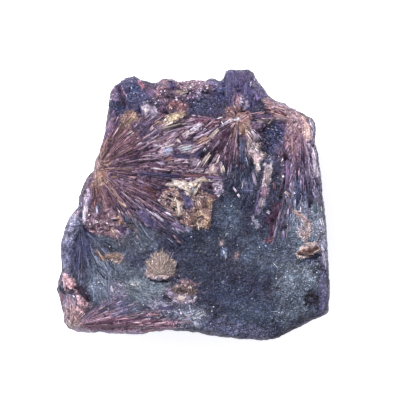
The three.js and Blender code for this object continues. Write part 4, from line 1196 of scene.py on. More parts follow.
# %% The streaks of the right side
add_streaks("streaks_right", {
    "rose tan": [(20.7, 31, 24.4, 30.3, 1.2), (29.4, 20.4, 29.8, 15.5, .8),
                 (27.4, 20.4, 29, 18, 1)],
    "pale rose": [(22.3, 31.8, 24.5, 31.1, .6), (29.6, 26.8, 32, 25, 1.2),
                  (31.5, -2.5, 35, -5.2, 1)],
    "clay": [(22.6, 29.9, 27.6, 28.7, .9), (33.8, -5, 34.2, -9.4, .9)],
    "ink plum": [(20.2, 29, 24, 27.9, .4), (24, 27.9, 28.4, 26.4, .4), (33, 28, 34.6, 26.2, .3),
                 (34.2, 25.6, 35.2, 23, .45), (35.7, 18.3, 36, 17.4, .6), (36.6, 17, 37, 15.8, .3),
                 (26.6, 17.4, 28, 13, 1.3)],
    "cream": [(25.2, 30.6, 28.3, 30, .6), (27.4, 3.6, 28.8, 2.6, 1.1)],
    "lilac white": [(28.6, 29.3, 30.6, 28.4, .6), (35, 26.6, 36.6, 24.6, .9),
                    (36.3, 24, 36.6, 20, .7), (35.4, 17, 36.6, 12.5, 1.2), (22, -2, 23, -2.6, 1.1),
                    (36.1, 14, 36.7, 8.2, 1.3), (35.6, 22.5, 36, 19, .5)],
    "peach": [(33.9, 23.8, 34.8, 19.4, 2.2), (32.2, 26.4, 34, 25.2, 1.2)],
    "white": [(38.2, -4, 39.2, -8.6, 1.2), (26.8, 8.7, 27.1, 8, .7), (26.4, 12.7, 27, 13.8, .3),
              (30.3, 3.6, 30.6, 3.2, .4), (22.9, 13.8, 23.2, 13.4, .5)],
    "mauve": [(31.6, 22, 32.2, 18, 1.2), (21.4, 5.4, 21.3, 2.4, 1.7)],
    "warm grey": [(22.4, 11.6, 21.9, 5.6, 1.9), (20.7, 2, 20.2, -.8, 1.2)],
    "brick": [(24.2, 6.8, 24.5, 4.4, 1), (22.6, -11.4, 23.6, -10.4, .9), (26, 14, 26.8, 15.4, .6)],
    "ink": [(27.5, 9.4, 27.2, 6, .7), (25.2, 3.4, 26.4, 2, 1.4)],
    "violet mauve": [(19.2, 0, 18.9, -2.6, .6), (28.4, 13, 28, 5, 1), (33, 9, 33.1, 3, .6)],
    "blue slate": [(31.5, 6, 31.3, 0, 1)],
    "teal": [(36.2, 2, 36.8, -4, .9)],
    "golden tan": [(29.6, -2, 32.5, -3.6, .5)],
    "dark plum": [(31, 14, 31.2, 8, .6), (25.4, 1, 24.4, -3.4, 1.7), (22.2, -3.6, 24, -4.8, 1.3),
                  (23.2, -5, 23.4, -10.4, 1)],
    "lilac grey": [(28.7, 5.2, 29.5, 3.4, .5), (23.8, 6.4, 24, 6.1, .4), (37, 5, 38, 0, .9),
                   (18.1, -3.2, 18, -4.6, .6), (18.4, -4.8, 19.9, -6.6, .8)],
    "dark slate": [(34.6, 4, 34.9, -.6, .8)],
    "plum": [(24.3, -6.2, 23.7, -9, .3)],
})

# %% [markdown]
# The left spray has long dark streaks, painted shade in its gaps, tan fibres round its heart, and
# rusty bits below.

# %% The streaks of the left side
add_streaks("streaks_left", {
    "cream": [(-20.9, .4, -20, -.8, .5), (-22.4, -1.5, -21.8, -2.6, .4),
              (-24.4, -7.4, -23.3, -8.8, .4)],
    "golden tan": [(-28.4, 10, -27.8, 6.6, 1.2), (-26.5, 6.4, -22.3, 1.2, .5),
                   (-22.3, 1.2, -20.1, -1, .45)],
    "gold brown": [(-24.8, 8.1, -22.8, 8.4, .8), (-22.8, -1.2, -17.2, -8.6, .45)],
    "ink": [(-31.4, 8.2, -30.4, 9.6, .8), (-33.4, 2.8, -32.2, 4.2, .6), (-33.4, -5, -32, -8, .5),
            (-24.6, -3.5, -22.6, -3.3, .8), (-24.1, -4.9, -22.1, -4.5, .55)],
    "lilac white": [(-31.2, 4.6, -31.6, 0, .8), (-31.7, 0, -32, -3.2, .9),
                    (-14, -1.2, -12, -2.8, .5), (-8.4, -2, -6.2, -3.6, .8),
                    (-12, -2.6, -9, -4.8, 1)],
    "violet mauve": [(-30.4, 4.6, -30.9, -.8, .8), (-22.4, -6.6, -20.2, -8.2, 1.9),
                     (-7.5, -5, -3, -7.6, .8)],
    "brick": [(-27.4, 5.2, -25, 0, .8), (-29, 5, -28.7, 1.2, .5), (-30, .6, -29.8, -2.4, .7)],
    "ice": [(-28.9, -.3, -28.8, -2.6, .7), (-36.2, -7.8, -39, -9.4, .3)],
    "dark slate": [(-28, 1.4, -27.7, -2.4, 1.2)],
    "pale rose": [(-35, -.6, -37, -4.2, .6)],
    "lilac grey": [(-17, -9, -16.3, -10.4, .4), (-24.6, -4.2, -22.8, -4, .6),
                   (-17, 7.5, -14.6, 6.4, .5), (-3.4, -8, -.8, -7, .7),
                   (-14.5, -5.6, -13.5, -6.6, .4)],
    "white": [(-32.1, -3.6, -32.6, -5.4, .7), (-29.4, -4.7, -29, -5.1, .4),
              (-30.9, -5.6, -30.7, -6.3, .7), (-9.8, -4.2, -8.9, -4.9, 1),
              (-10.4, 1.6, -9.8, 1, .7)],
    "pale slate": [(-35.6, -8.8, -38, -10.8, .4), (-15.8, -6, -11.2, -13, .25)],
    "violet slate": [(-15.6, -2.8, -12, -5.4, 1.9), (-10.2, -1, -6.5, -3.8, .6)],
    "rose tan": [(-28.6, 13, -28.2, 10.8, 1.1), (-4.8, -10.8, -3.5, -11.5, .5),
                 (-19.6, 8.4, -17, 8, .7), (-26.3, -1.8, -24.9, -1.2, .5),
                 (-31, -7.9, -29.6, -8.3, .6), (-26.4, -6.6, -25.9, -7.9, 1)],
    "ink plum": [(-31, -7, -29.9, -7.4, .5)],
    "mauve": [(-31.9, -1.8, -31.6, -2.8, .9), (-18.9, 8, -18.6, 7.4, .6), (-6, -9, -4.6, -10.5, .7),
              (-27.6, -4.4, -26.6, -3.4, 1.2)],
    "blue slate": [(-35, -9.6, -37.4, -12, .4), (-33.5, -1.4, -33.4, -3.6, .6)],
    "red brown": [(-14.8, 5.6, -11, 3.4, 1.2), (-12.6, 3.4, -10.2, 1.8, .9)],
    "rust": [(-22.5, -4.2, -21, -5.2, .9), (-13, 4.9, -10.6, 3.5, .6)],
    "slate": [(-14, -7, -10, -12, .2)],
})

# %% [markdown]
# The tan mass has cream faces and dark knots.

# %% The streaks of the middle
add_streaks("streaks_centre", {
    "cream": [(-8.2, 6.2, -5, 5.5, .8), (-6, 7, -1, 6, 1.2), (-3.5, 6.2, -.6, 4, 1.8),
              (-2, 5, 0, 3, 1.6), (-.2, 6.4, 2.6, 7.6, 1.2), (-4.6, 1, -4, -3.2, .9)],
    "white": [(-.1, 5.9, .7, 3.4, 1.6), (9.1, -13.8, 9.3, -14.8, .5)],
    "pale yellow": [(1, 7.3, 4.2, 7.3, .7)],
    "lilac white": [(12, 5.2, 13.2, 3.6, .7), (13.4, 3.2, 14, 2, .8)],
    "dark plum": [(2.7, 6.4, 5.6, 5.2, 1.6)],
    "brick": [(4.6, 2.8, 7, 2.1, .9), (-1.6, -5, -.2, -5.8, .7)],
    "violet slate": [(-3.2, 3.2, -1.2, .4, 1.4), (-1.9, 1.6, -.7, -.8, 1.6)],
    "umber": [(3.2, .8, 3.6, -1, 1.1)],
    "warm grey": [(8.3, -10.8, 8.9, -12.2, .9)],
    "blue slate": [(8.3, 4, 9.3, 3.3, .8)],
    "pale slate": [(9.6, -14.6, 9.9, -16.4, .7)],
    "lilac grey": [(4.6, 6.8, 6.2, 7, .6)],
})

# %% [markdown]
# Low on the face lie the pink shards, the rims of the tuft and of the tan crystal, and specks.
# Dark streaks paint the shadows under the tuft, the tan crystal and a pink shard, and the shade in
# the pit.

# %% The streaks of the lower part
add_streaks("streaks_low", {
    # some ink streaks are painted shade: the shadow under the tuft and under the tan crystal, and
    # along the rim of the pit
    "ink": [(-28.6, -19.6, -26.6, -22, .5), (-13.6, -22.3, -8, -23, .7), (-8, -23, -4.4, -21.9, .7),
            (-8.2, -27.2, -6.8, -28.4, .35), (36, -17, 38, -17.3, .5), (34, -26, 37.6, -28.6, 1),
            (33.5, -28.6, 36, -30.1, .5)],
    "umber": [(-31, -12.6, -26.8, -16.6, .35), (31.8, -14.8, 34.2, -14.2, .8),
              (34, -13, 38, -12.5, .7)],
    "golden tan": [(-28.8, -13.6, -26.7, -16.9, .6), (-25.8, -15.8, -22, -15, 1.3)],
    "cream": [(-.9, -24.4, -.4, -25.2, .5), (-23.8, -17, -22.6, -17.4, .7),
              (-4.6, -27.6, -2.4, -28.4, 1.6), (32.6, -15.7, 38.4, -13.4, .45),
              (30.7, -14.6, 31.4, -15.6, .6), (33, -11.9, 35.6, -11.3, .5)],
    "white": [(-18.7, -24, -16.9, -24.2, .7), (-28.4, -23.2, -28.1, -23.5, .7),
              (-36.1, -27, -35.5, -27.7, .5), (37.7, -15.5, 38, -15.8, .4)],
    "shard pink": [(-39.2, -20.5, -38.2, -25.8, 1.1), (-38.6, -21.6, -35.4, -25.2, 1.3),
                   (-35.4, -25.6, -32.6, -28.8, .9), (-34.5, -27.4, -33, -31.6, 1.3),
                   (-34.6, -30.4, -34.3, -32.4, .9)],
    "pale rose": [(36, -11.2, 38.6, -12.1, .5), (-38.8, -22.4, -37.6, -25, .9),
                  (-34.6, -28, -33.2, -31, .4), (-14.5, -36.4, -8.5, -35.2, .7)],
    "brick": [(-36.2, -23.6, -35.2, -24.8, .6), (-39.6, -26.5, -39, -29.5, .8)],
    # the first ink plum streak is the painted shadow beside the pink shard
    "ink plum": [(-34.5, -24.4, -31, -29.2, 1), (-37.6, -26.6, -35.6, -26.2, 1)],
    "dark slate": [(-40, -21.5, -40.2, -26, 1.2)],
    "lilac grey": [(-21.4, -15.6, -21, -16.5, .4), (-4.3, -20.8, -3.9, -21.8, .5),
                   (-7.2, -26.2, -5.6, -27.4, 1.2), (37, -17.6, 37.5, -18, .7)],
    "rose tan": [(-3.4, -22.8, -2, -24.6, 1.1), (-14, -32.9, -10, -33, .4),
                 (-15.5, -38, -12, -37.6, .6)],
    "violet slate": [(-10, -31, -6, -31, 1.1)],
    "lilac white": [(38.7, -12.6, 39.6, -19, .8), (-2.4, -33.4, -.6, -33.2, .8),
                    (-3.9, -32.2, -3.3, -32.8, .6)],
    "green white": [(.3, -33.4, 2.6, -32.4, .9), (.6, -35, 1.2, -36.6, 1.2)],
    # the second slate streak is the painted shadow under the tan crystal
    "slate": [(-31.8, -12.6, -28.2, -19.4, .35), (34, -16, 38, -15.4, 1)],
    "pale slate": [(-30.6, -13, -27.4, -18.8, .3)],
})
SPANS = np.array([span for groups in STREAKS.values() for spans in groups.values()
                  for span in spans])


def taken(x, y):
    """Which points lie on a streak."""
    return (line_gaps(x, y, SPANS[:, :2], SPANS[:, 2:4]) < SPANS[:, 4] / 2 + 0.1).any(1)


# %% [markdown]
# All bars are laid by one helper. Bars that would cover a streak are dropped first, and the rest
# get a thickness, a height above the skin and a roll by chance.

# %% From bars to a piece
CLEAR_AT = (0.05, 0.3, 0.5, 0.7, 0.95)  # shares of a bar's length that have to be clear


def heading(degrees):
    """Steps of length one in the given directions."""
    angle = np.radians(degrees)
    return np.column_stack([np.cos(angle), np.sin(angle)])


def bars(name, groups, own=0, fineness=1, thick=(0.3, 0.7), proud=(0.02, 0.5), roll=32,
         clear=True):
    """Lays one blade for each start, end, colour and width of some groups of bars. Own is the
    share of the ground's colour in a blade's."""
    start, end, tints, width = (np.concatenate(column) for column in zip(*groups))
    width = width * fineness
    if clear:
        stops = [start + (end - start) * share for share in CLEAR_AT]
        free = ~np.any([taken(p[:, 0], p[:, 1]) for p in stops], axis=0)
        start, end, tints, width = start[free], end[free], tints[free], width[free]
    count = len(start)
    thickness, lift = (low + (high - low) * rng.uniform(0, 1, count) ** 1.6
                       for low, high in (thick, proud))
    roots, axes, ok = lay_bars(start, end, width, thickness, lift, rng.uniform(-roll, roll, count))
    both = np.repeat(tints[:, None, :], 2, axis=1)
    if own:
        ground = np.stack([ground_colours(p[:, 0], p[:, 1]) for p in (start, end)], axis=1)
        both = both ** (1 - own) * ground ** own
    join_copies(name, BLADE, roots, axes, both[ok])


# %% [markdown]
# The sprays. A blade starts somewhere between the heart and the rim of its sector, points away
# from the heart, and lies on the skin. Three mixes of colour give the heart, the body and the
# rim of each sector. Neighbouring blades lean to the same colour, so the spray shows bands that
# run out from its heart.

# %% How a spray grows
BANDS = [(7, 0.6, 5), (1.6, 0.8, 6)]  # noise over directions in degrees and reach
SHORT, LONG = (0.8, 3), (3, 9)  # least and greatest length
SLIM = (0.14, 0.32)  # least and greatest width near the heart
LONG_AT = 16  # a sector that reaches this far has blades of full length
SHORTER_OUT = 12  # beyond its core a spray's blades get shorter and wider over this distance


def spray_bars(heart, core, sectors):
    """The blades of each sector of a spray."""
    for low, high, far, count, mixes in sectors:
        turn = rng.uniform(low, high, count)
        away = heading(turn)
        reach = far * np.sqrt(rng.uniform(0, 1, count)) * rng.uniform(0.8, 1.1, count)
        out = np.clip((reach - core) / SHORTER_OUT, 0, 1)
        short = rng.uniform(0, 1, count) < 0.15 + 0.6 * out
        length = np.where(short, rng.uniform(*SHORT, count), rng.uniform(*LONG, count))
        length = np.minimum(length * min(1, (far / LONG_AT) ** 1.4), reach * 0.9)
        width = (rng.uniform(*SLIM, count)
                 + np.where(short, 0.8, 0.35) * out * rng.uniform(0, 1, count) ** 1.5)
        band = fray(turn, reach / 3, BANDS)
        lean = (band + 0.55 * rng.uniform(0, 1, count)).argsort().argsort() / count
        zone = np.where(reach < core * rng.uniform(0.7, 1.5, count), 0,
                        np.where(reach < far * rng.uniform(0.5, 0.8, count), 1, 2))
        tints = np.zeros((count, 3))
        for k, mix in enumerate(mixes):
            tints[zone == k] = painted(mix, lean[zone == k])
        yield heart + away * (reach - length)[:, None], heart + away * reach[:, None], tints, width


def spray(name, heart, core, own, sectors, fineness=1):
    """Lays a spray. A sector goes from one direction to another and has a farthest reach, a
    number of blades, and mixes for its heart, body and rim."""
    bars(name, spray_bars(np.array(heart), core, sectors), own, fineness)


# %% [markdown]
# The left spray is the largest. Its blades are pinkish brown, with pale cleavage faces and dark
# blades, painted shade in the gaps, towards its rim, and warmer below.

# %% The left spray
HEART = {"ink plum": 1.2, "umber": 2, "mauve": 2, "rose tan": 4.6, "golden tan": 3.2, "peach": 3,
         "cream": 1.6}
BODY = {"ink": 1.5, "navy": 1.5, "ink plum": 3, "dark plum": 3, "umber": 1.5, "plum": 2.5,
        "mauve": 3.4, "rose tan": 3.2, "golden tan": 0.8, "lilac grey": 1.4, "lilac white": 1.2}
FAN = {"ink plum": 3, "dark plum": 3, "umber": 2, "red brown": 2.4, "plum": 2.8, "gold brown": 1.6,
       "mauve": 2.8, "rose tan": 1.6, "golden tan": 0.8}
WARM = {"ink plum": 2.4, "umber": 3, "red brown": 2, "plum": 2, "gold brown": 2.4, "mauve": 2,
        "rose tan": 3, "golden tan": 2, "cream": 0.6}
PALE = {"ink": 2, "ink plum": 2.6, "dark plum": 2, "plum": 1.5, "mauve": 2, "lilac grey": 2.4,
        "pale rose": 3, "cream": 2.6, "lilac white": 2.6}
PINK = {"ink plum": 2.4, "dark plum": 3, "brick": 2.6, "plum": 3.4, "mauve": 4, "rose tan": 4,
        "pale rose": 1.8, "lilac white": 0.8}
spray("left_spray", (-29.1, 10.65), 5, 0.26, [
    (50, 80, 17, 800, (HEART, FAN, FAN)),
    (34, 50, 16, 600, (HEART, FAN, FAN)),
    (20, 34, 27, 1000, (HEART, FAN, PALE)),
    (-10, 20, 38, 2300, (HEART, BODY, PALE)),
    (-45, -10, 31, 2000, (WARM, BODY, BODY)),
    (-75, -45, 24, 1100, (WARM, BODY, BODY)),
    (-100, -75, 19, 600, (HEART, FAN, PINK)),
])

# %% [markdown]
# The star under the top block has blades all round. They are longest downwards, where they end
# in the dark blue of the matrix.

# %% The top star
RIM = {"ink": 2.5, "navy": 1.6, "ink plum": 2.6, "violet slate": 2, "plum": 2, "mauve": 2.5,
       "lilac grey": 3.6, "rose tan": 2, "pale rose": 2.4, "lilac white": 3.8}
NAVY = {"ink": 3.4, "navy": 5, "dark slate": 5, "slate": 2.5, "teal": 1, "pale slate": 0.6}
spray("top_star", (13.5, 25.35), 3, 0.2, [
    (172, 200, 20, 640, (HEART, BODY, PALE)),
    (200, 232, 20, 900, (HEART, PALE, PALE)),
    (232, 262, 18, 900, (HEART, BODY, PALE)),
    (262, 290, 21, 900, (HEART, BODY, NAVY)),
    (290, 328, 12.6, 620, (HEART, PALE, PALE)),
    (340, 385, 11, 360, (HEART, BODY, RIM)),
    (60, 150, 5, 420, (HEART, HEART, BODY)),
])

# %% [markdown]
# The right spray hangs down the right edge in a narrow fan. It turns violet and then blue-grey
# on its way down.

# %% The right spray
HANG = {"ink plum": 3.4, "navy": 2.6, "dark plum": 2.4, "violet slate": 2.4, "plum": 2.4,
        "blue slate": 2.4, "violet mauve": 2.4, "mauve": 3, "rose tan": 2.4, "lilac grey": 3,
        "lilac white": 2.2}
COOL = {"ink": 2.2, "navy": 3, "violet slate": 3, "blue slate": 3, "violet mauve": 2.4,
        "pale slate": 2, "lilac grey": 3, "ice": 1.4, "lilac white": 2.2}
spray("right_spray", (32.4, 24.75), 4, 0.28, [
    (140, 175, 13, 520, (HEART, HEART, BODY)),
    (228, 252, 14, 420, (HEART, BODY, HANG)),
    (252, 263, 36, 1200, (HEART, HANG, HANG)),
    (263, 276, 31, 1400, (HEART, HANG, COOL)),
    (276, 287, 24, 760, (HEART, HANG, COOL)),
])

# %% [markdown]
# The corner spray runs from the lower left corner along the lower edge, pink below and lilac
# above. Its needles are finer.

# %% The corner spray
LILAC = {"slate": 2, "blue slate": 2.4, "violet mauve": 3, "mauve": 3, "lilac grey": 3,
         "rose tan": 2, "pale rose": 1.4}
spray("corner_spray", (-36.3, -36.45), 3, 0.3, [
    (-1, 5, 36, 1000, (HEART, PINK, PINK)),
    (5, 12, 25, 600, (HEART, PINK, PINK)),
    (12, 40, 19, 900, (HEART, LILAC, LILAC)),
    (40, 100, 10, 800, (HEART, HEART, PINK)),
], fineness=0.8)

# %% [markdown]
# The blue fan on the left edge is another mineral, in fine needles of dark blue and grey.

# %% The blue fan
BLUE = {"ink": 2, "navy": 4.4, "dark slate": 2.4, "blue slate": 4, "slate": 3, "pale slate": 2,
        "ice": 0.5}
spray("blue_fan", (-33.6, -6.45), 2, 0.36, [
    (225, 255, 11, 400, (BLUE, BLUE, BLUE)),
    (255, 285, 18, 800, (BLUE, BLUE, BLUE)),
    (285, 328, 18, 1100, (BLUE, BLUE, BLUE)),
    (170, 225, 6.4, 300, (BLUE, COOL, COOL)),
    (30, 225, 2.4, 160, (BLUE, BLUE, BLUE)),
], fineness=0.7)

# %% [markdown]
# The tuft is a half disc of tan fibres, so it is a small spray too.

# %% The tan tuft
TAN = {"umber": 2, "gold brown": 2, "olive": 3, "golden tan": 3, "warm grey": 1.4, "cream": 3.4}
spray("tan_tuft", (-9.3, -21), 1, 0.3, [
    (-8, 60, 5, 620, (TAN, TAN, TAN)),
    (60, 120, 7.4, 820, (TAN, TAN, TAN)),
    (120, 186, 5, 620, (TAN, TAN, TAN)),
], fineness=0.6)

# %% [markdown]
# Swarms are blades and needles that lie side by side. Each fills an ellipse and runs in one
# direction, give or take a few degrees. Where a swarm has no mix of its own, its needles take
# the colour of the ground, and none runs from one mineral into another.

# %% How a swarm lies
OWN = {}  # takes the colour of the ground under it
ALIKE = 0.8  # stops by which the ground may change along a needle
NEIGHBOURS = [(1.4, 1, 7)]  # noise by which neighbours lean to one colour
MIX_SHARE, GROUND_SHARE = 0.66, 0.34


def inside(middle, half, turn, count):
    """Points spread evenly over an ellipse."""
    angle = rng.uniform(0, 2 * math.pi, count)
    out = np.sqrt(rng.uniform(0, 1, count))
    along, across = half[0] * out * np.cos(angle), half[1] * out * np.sin(angle)
    c, s = math.cos(math.radians(turn)), math.sin(math.radians(turn))
    return np.array(middle) + np.column_stack([along * c - across * s, along * s + across * c])


def swarm_bars(patches):
    """The bars of each ellipse of a swarm."""
    for middle, half, turn, direction, spread, count, length, width, mix in patches:
        centre = inside(middle, half, turn, count)
        away = heading(rng.normal(direction, spread, count))
        away *= rng.uniform(*length, count)[:, None] / 2
        if not mix:
            change = ground_colours(*(centre + away).T) / ground_colours(*(centre - away).T)
            alike = np.abs(np.log2(change)).max(1) < ALIKE
            centre, away, count = centre[alike], away[alike], int(alike.sum())
        widths = rng.uniform(*width, count)
        if mix:
            band = fray(*centre.T, NEIGHBOURS) + rng.uniform(0, 1, count)
            tints = painted(mix, band.argsort().argsort() / count)
            tints = tints ** MIX_SHARE * ground_colours(*centre.T) ** GROUND_SHARE
        else:
            tints = local_tints(*centre.T, 0.9)
        yield centre - away, centre + away, tints, widths


def swarm(name, patches, proud=(0.02, 0.5)):
    """Lays a swarm. A patch has a middle, half sizes, a turn, a direction, a spread, a number,
    least and greatest length and width, and a mix."""
    bars(name, swarm_bars(patches), proud=proud)


# %% [markdown]
# The top block is striated from top to bottom. Flatter striae run along its foot and along the
# ridge on its right.

# %% The striated block
STRIAE = {"ink": 2, "navy": 4, "peak violet": 5, "blue slate": 2, "violet mauve": 2,
          "lilac grey": 0.6}
swarm("striated_block", [
    ((14.6, 35.6), (6, 6), 0, 88, 4, 620, (2, 6), (0.2, 0.6), STRIAE),
    ((8.4, 33.6), (4.6, 3.2), 0, 4, 8, 320, (2, 5), (0.2, 0.5), OWN),
    ((24.6, 29.2), (4.6, 2.6), -17, -14, 10, 320, (2, 5), (0.2, 0.5), OWN),
])

# %% [markdown]
# Ribs hang down between the star and the right spray, and down the right edge.

# %% The pale ribs
swarm("pale_ribs", [
    ((20.6, 15), (2, 4), -20, -66, 8, 160, (1, 3), (0.3, 0.8), OWN),
    ((22, 7.5), (1.6, 5), -4, 266, 6, 160, (1, 4), (0.3, 0.8), OWN),
    ((19.2, -1), (2, 7), 6, 262, 8, 220, (1, 4), (0.3, 0.7), OWN),
    ((15, 8), (4, 8), 0, 268, 7, 520, (2, 6), (0.2, 0.5), OWN),
    ((24, -4), (2.4, 8), 3, 262, 7, 420, (1, 5), (0.2, 0.5), OWN),
    ((28, -1), (4, 5), 0, 262, 16, 260, (0.8, 3), (0.2, 0.4), OWN),
    ((37, 0), (1.6, 14), 0, 264, 8, 420, (1, 5), (0.2, 0.5), OWN),
])

# %% [markdown]
# Between the two large sprays lie loose, chunky laths. They stand higher than other swarms.

# %% The laths between the sprays
CHUNKY = {"ink": 2, "ink plum": 2.4, "dark plum": 1.4, "plum": 1, "mauve": 1.4, "lilac grey": 2.6,
          "pale rose": 2.6, "cream": 2.8, "lilac white": 4, "white": 1}
swarm("between_laths", [
    ((-2, 20), (9, 4.6), 22, 28, 8, 420, (1.5, 5), (0.4, 1.1), CHUNKY),
    ((-8, 15), (7, 3), 8, 12, 10, 300, (1.5, 4.5), (0.4, 1), CHUNKY),
    ((3, 13.4), (5, 3.6), 40, 46, 12, 340, (1.5, 4.5), (0.4, 1.1), CHUNKY),
    ((-9.6, 24), (5, 2.4), 28, 28, 12, 260, (0.8, 3), (0.3, 0.6), OWN),
    ((-14.8, 21.6), (4, 3), 0, 20, 30, 260, (0.6, 2), (0.2, 0.5), OWN),
], proud=(0.1, 0.65))

# %% [markdown]
# Tan and golden spots are made of short laths that lie less strictly one way.

# %% The tan laths
swarm("tan_laths", [
    ((-.8, 5.6), (5.6, 2.2), 4, 10, 30, 200, (0.8, 2.4), (0.3, 0.8), OWN),
    ((1.8, -1.8), (4.2, 5.6), 0, 100, 34, 360, (0.6, 2.2), (0.3, 0.7), OWN),
    ((-6.2, .4), (3.4, 4.2), 20, 70, 34, 260, (0.6, 2), (0.3, 0.7), OWN),
    ((-24.2, -15.7), (4, 1.4), 0, 10, 50, 160, (0.5, 1.6), (0.2, 0.5), OWN),
    ((-7.4, 25), (6, 1.7), 28, 28, 30, 260, (0.5, 2), (0.2, 0.6), OWN),
    ((-19.6, 24.6), (4.4, 2), 58, 60, 10, 320, (1.6, 4.4), (0.15, 0.4), OWN),
    ((33.6, -6), (2, 5), 25, 118, 24, 300, (0.6, 3), (0.2, 0.5), OWN),
    ((-2.6, -26.4), (3.4, 3.2), 0, 80, 50, 260, (0.5, 1.8), (0.2, 0.5), OWN),
    ((-34, -28.4), (2, 4.4), 30, -58, 20, 260, (0.8, 2.6), (0.3, 0.7), OWN),
    ((-37, -23.4), (1.6, 3), 20, -64, 20, 160, (0.8, 2.6), (0.3, 0.7), OWN),
    ((-36.6, -33), (2.4, 4), 0, 96, 30, 260, (0.6, 2), (0.2, 0.5), OWN),
])

# %% [markdown]
# Needles as fine as hairs run through the green rock, in the direction of the nearest spray.

# %% The green needles
swarm("green_needles", [
    ((-18, -2), (4, 8), 40, -50, 9, 520, (3, 8), (0.15, 0.3), OWN),
    ((-12, -6), (9, 6), -30, -42, 12, 620, (3, 8), (0.15, 0.3), OWN),
    ((-22, -14), (8, 7), 0, -36, 18, 820, (2, 7), (0.15, 0.3), OWN),
    ((-27, -22), (4, 10), 0, -70, 12, 620, (3, 9), (0.15, 0.35), OWN),
    ((-20, -26), (7, 7), 0, -50, 30, 620, (2, 6), (0.15, 0.3), OWN),
    ((-13, -28), (9, 5), 0, -12, 20, 620, (2, 6), (0.15, 0.3), OWN),
    ((13, -24), (14, 15), 0, -20, 60, 900, (0.6, 2.4), (0.15, 0.35), OWN),
])

# %% [markdown]
# Where a patch is a crust of cleavage laths, short blades fill its outline, leaning to the
# direction of its grain. Each takes the colour under it, darker or lighter in clumps.


# %% How a crust grows
def crust_bars(patches, depth):
    """The laths of each patch of a crust."""
    for patch, direction, spread, density, length, width in patches:
        outline = OUTLINES[patch]
        low, high = np.min(outline, axis=0), np.max(outline, axis=0)
        spots = rng.uniform(low, high, (round(np.prod(high - low) * density), 2))
        spots = spots[outline_gap(*spots.T, outline) < 0.1]
        count = len(spots)
        away = heading(rng.normal(direction, spread, count))
        away *= rng.uniform(*length, count)[:, None] / 2
        tints = local_tints(*spots.T, depth)
        yield spots - away, spots + away, tints, rng.uniform(*width, count)


def crust(name, patches, depth=1.3):
    """Lays a crust. Each row has a patch, a direction, a spread, laths to the square millimetre,
    and least and greatest length and width. Depth is how far brightness varies, in stops."""
    bars(name, crust_bars(patches, depth), thick=(0.25, 0.6), proud=(0, 0.35))


# %% [markdown]
# The tan crusts cover the crumbly mass in the middle, the tuft, and the small tan spots.

# %% The tan crust
crust("tan_crust", [
    ("cream bird", 12, 34, 4, (0.8, 2.4), (0.3, 0.8)),
    ("left tan", 74, 36, 5, (0.6, 2), (0.25, 0.6)),
    ("lower tan", 104, 40, 5, (0.6, 2), (0.25, 0.6)),
    ("grey plate", 110, 30, 3, (0.8, 2.2), (0.3, 0.7)),
    ("dark chunk", 160, 40, 4, (0.5, 1.4), (0.3, 0.6)),
    ("pale specks", 150, 50, 4, (0.4, 1.2), (0.3, 0.6)),
    ("tan field", 118, 22, 5, (0.6, 2.2), (0.2, 0.5)),
    ("tan crystal", 16, 12, 5, (0.6, 2), (0.25, 0.5)),
    ("brown patch", 40, 50, 5, (0.4, 1.4), (0.2, 0.5)),
    ("pale patch", 20, 60, 5, (0.4, 1.4), (0.25, 0.6)),
    ("red lens", 150, 50, 5, (0.4, 1.2), (0.2, 0.5)),
    ("tuft", 84, 50, 4, (0.3, 1.1), (0.15, 0.4)),
    ("tuft rim", 8, 50, 5, (0.3, 1.1), (0.15, 0.4)),
    ("golden patch", 10, 50, 5, (0.4, 1.4), (0.2, 0.5)),
    ("yellow dot", 0, 60, 5, (0.4, 1), (0.2, 0.5)),
    ("white splash", 60, 60, 5, (0.4, 1.4), (0.2, 0.5)),
])

# %% [markdown]
# The pink crusts have the coarsest laths. They are the shards above the lower left corner and
# the blocks under the left spray.

# %% The pink crust
crust("pink_crust", [
    ("pink shard", 118, 22, 3, (1, 3), (0.5, 1.1)),
    ("pink slab", 122, 22, 3, (1, 3), (0.5, 1.1)),
    # the painted shadow beside the pink shard is laid as a crust of dark laths
    ("painted shard shadow", 122, 14, 3, (1, 3), (0.3, 0.6)),
    ("shard hole", 100, 40, 4, (0.5, 1.6), (0.3, 0.6)),
    ("pinkish block", 70, 40, 5, (0.5, 1.8), (0.3, 0.8)),
    ("mauve block", 140, 30, 4, (0.5, 1.8), (0.3, 0.8)),
    ("tan bits", 110, 30, 5, (0.4, 1.4), (0.25, 0.6)),
    ("gold bits", 110, 30, 5, (0.4, 1.4), (0.25, 0.6)),
    ("left sliver", 86, 14, 4, (0.8, 2.4), (0.3, 0.6)),
    ("left edge", 80, 40, 4, (0.5, 1.6), (0.3, 0.6)),
    ("pink edge", 50, 30, 5, (0.5, 1.6), (0.3, 0.6)),
])

# %% [markdown]
# The edge crusts cover the knobs of the top edge, the corners, and the right spray's heart. They
# glitter more than the others.

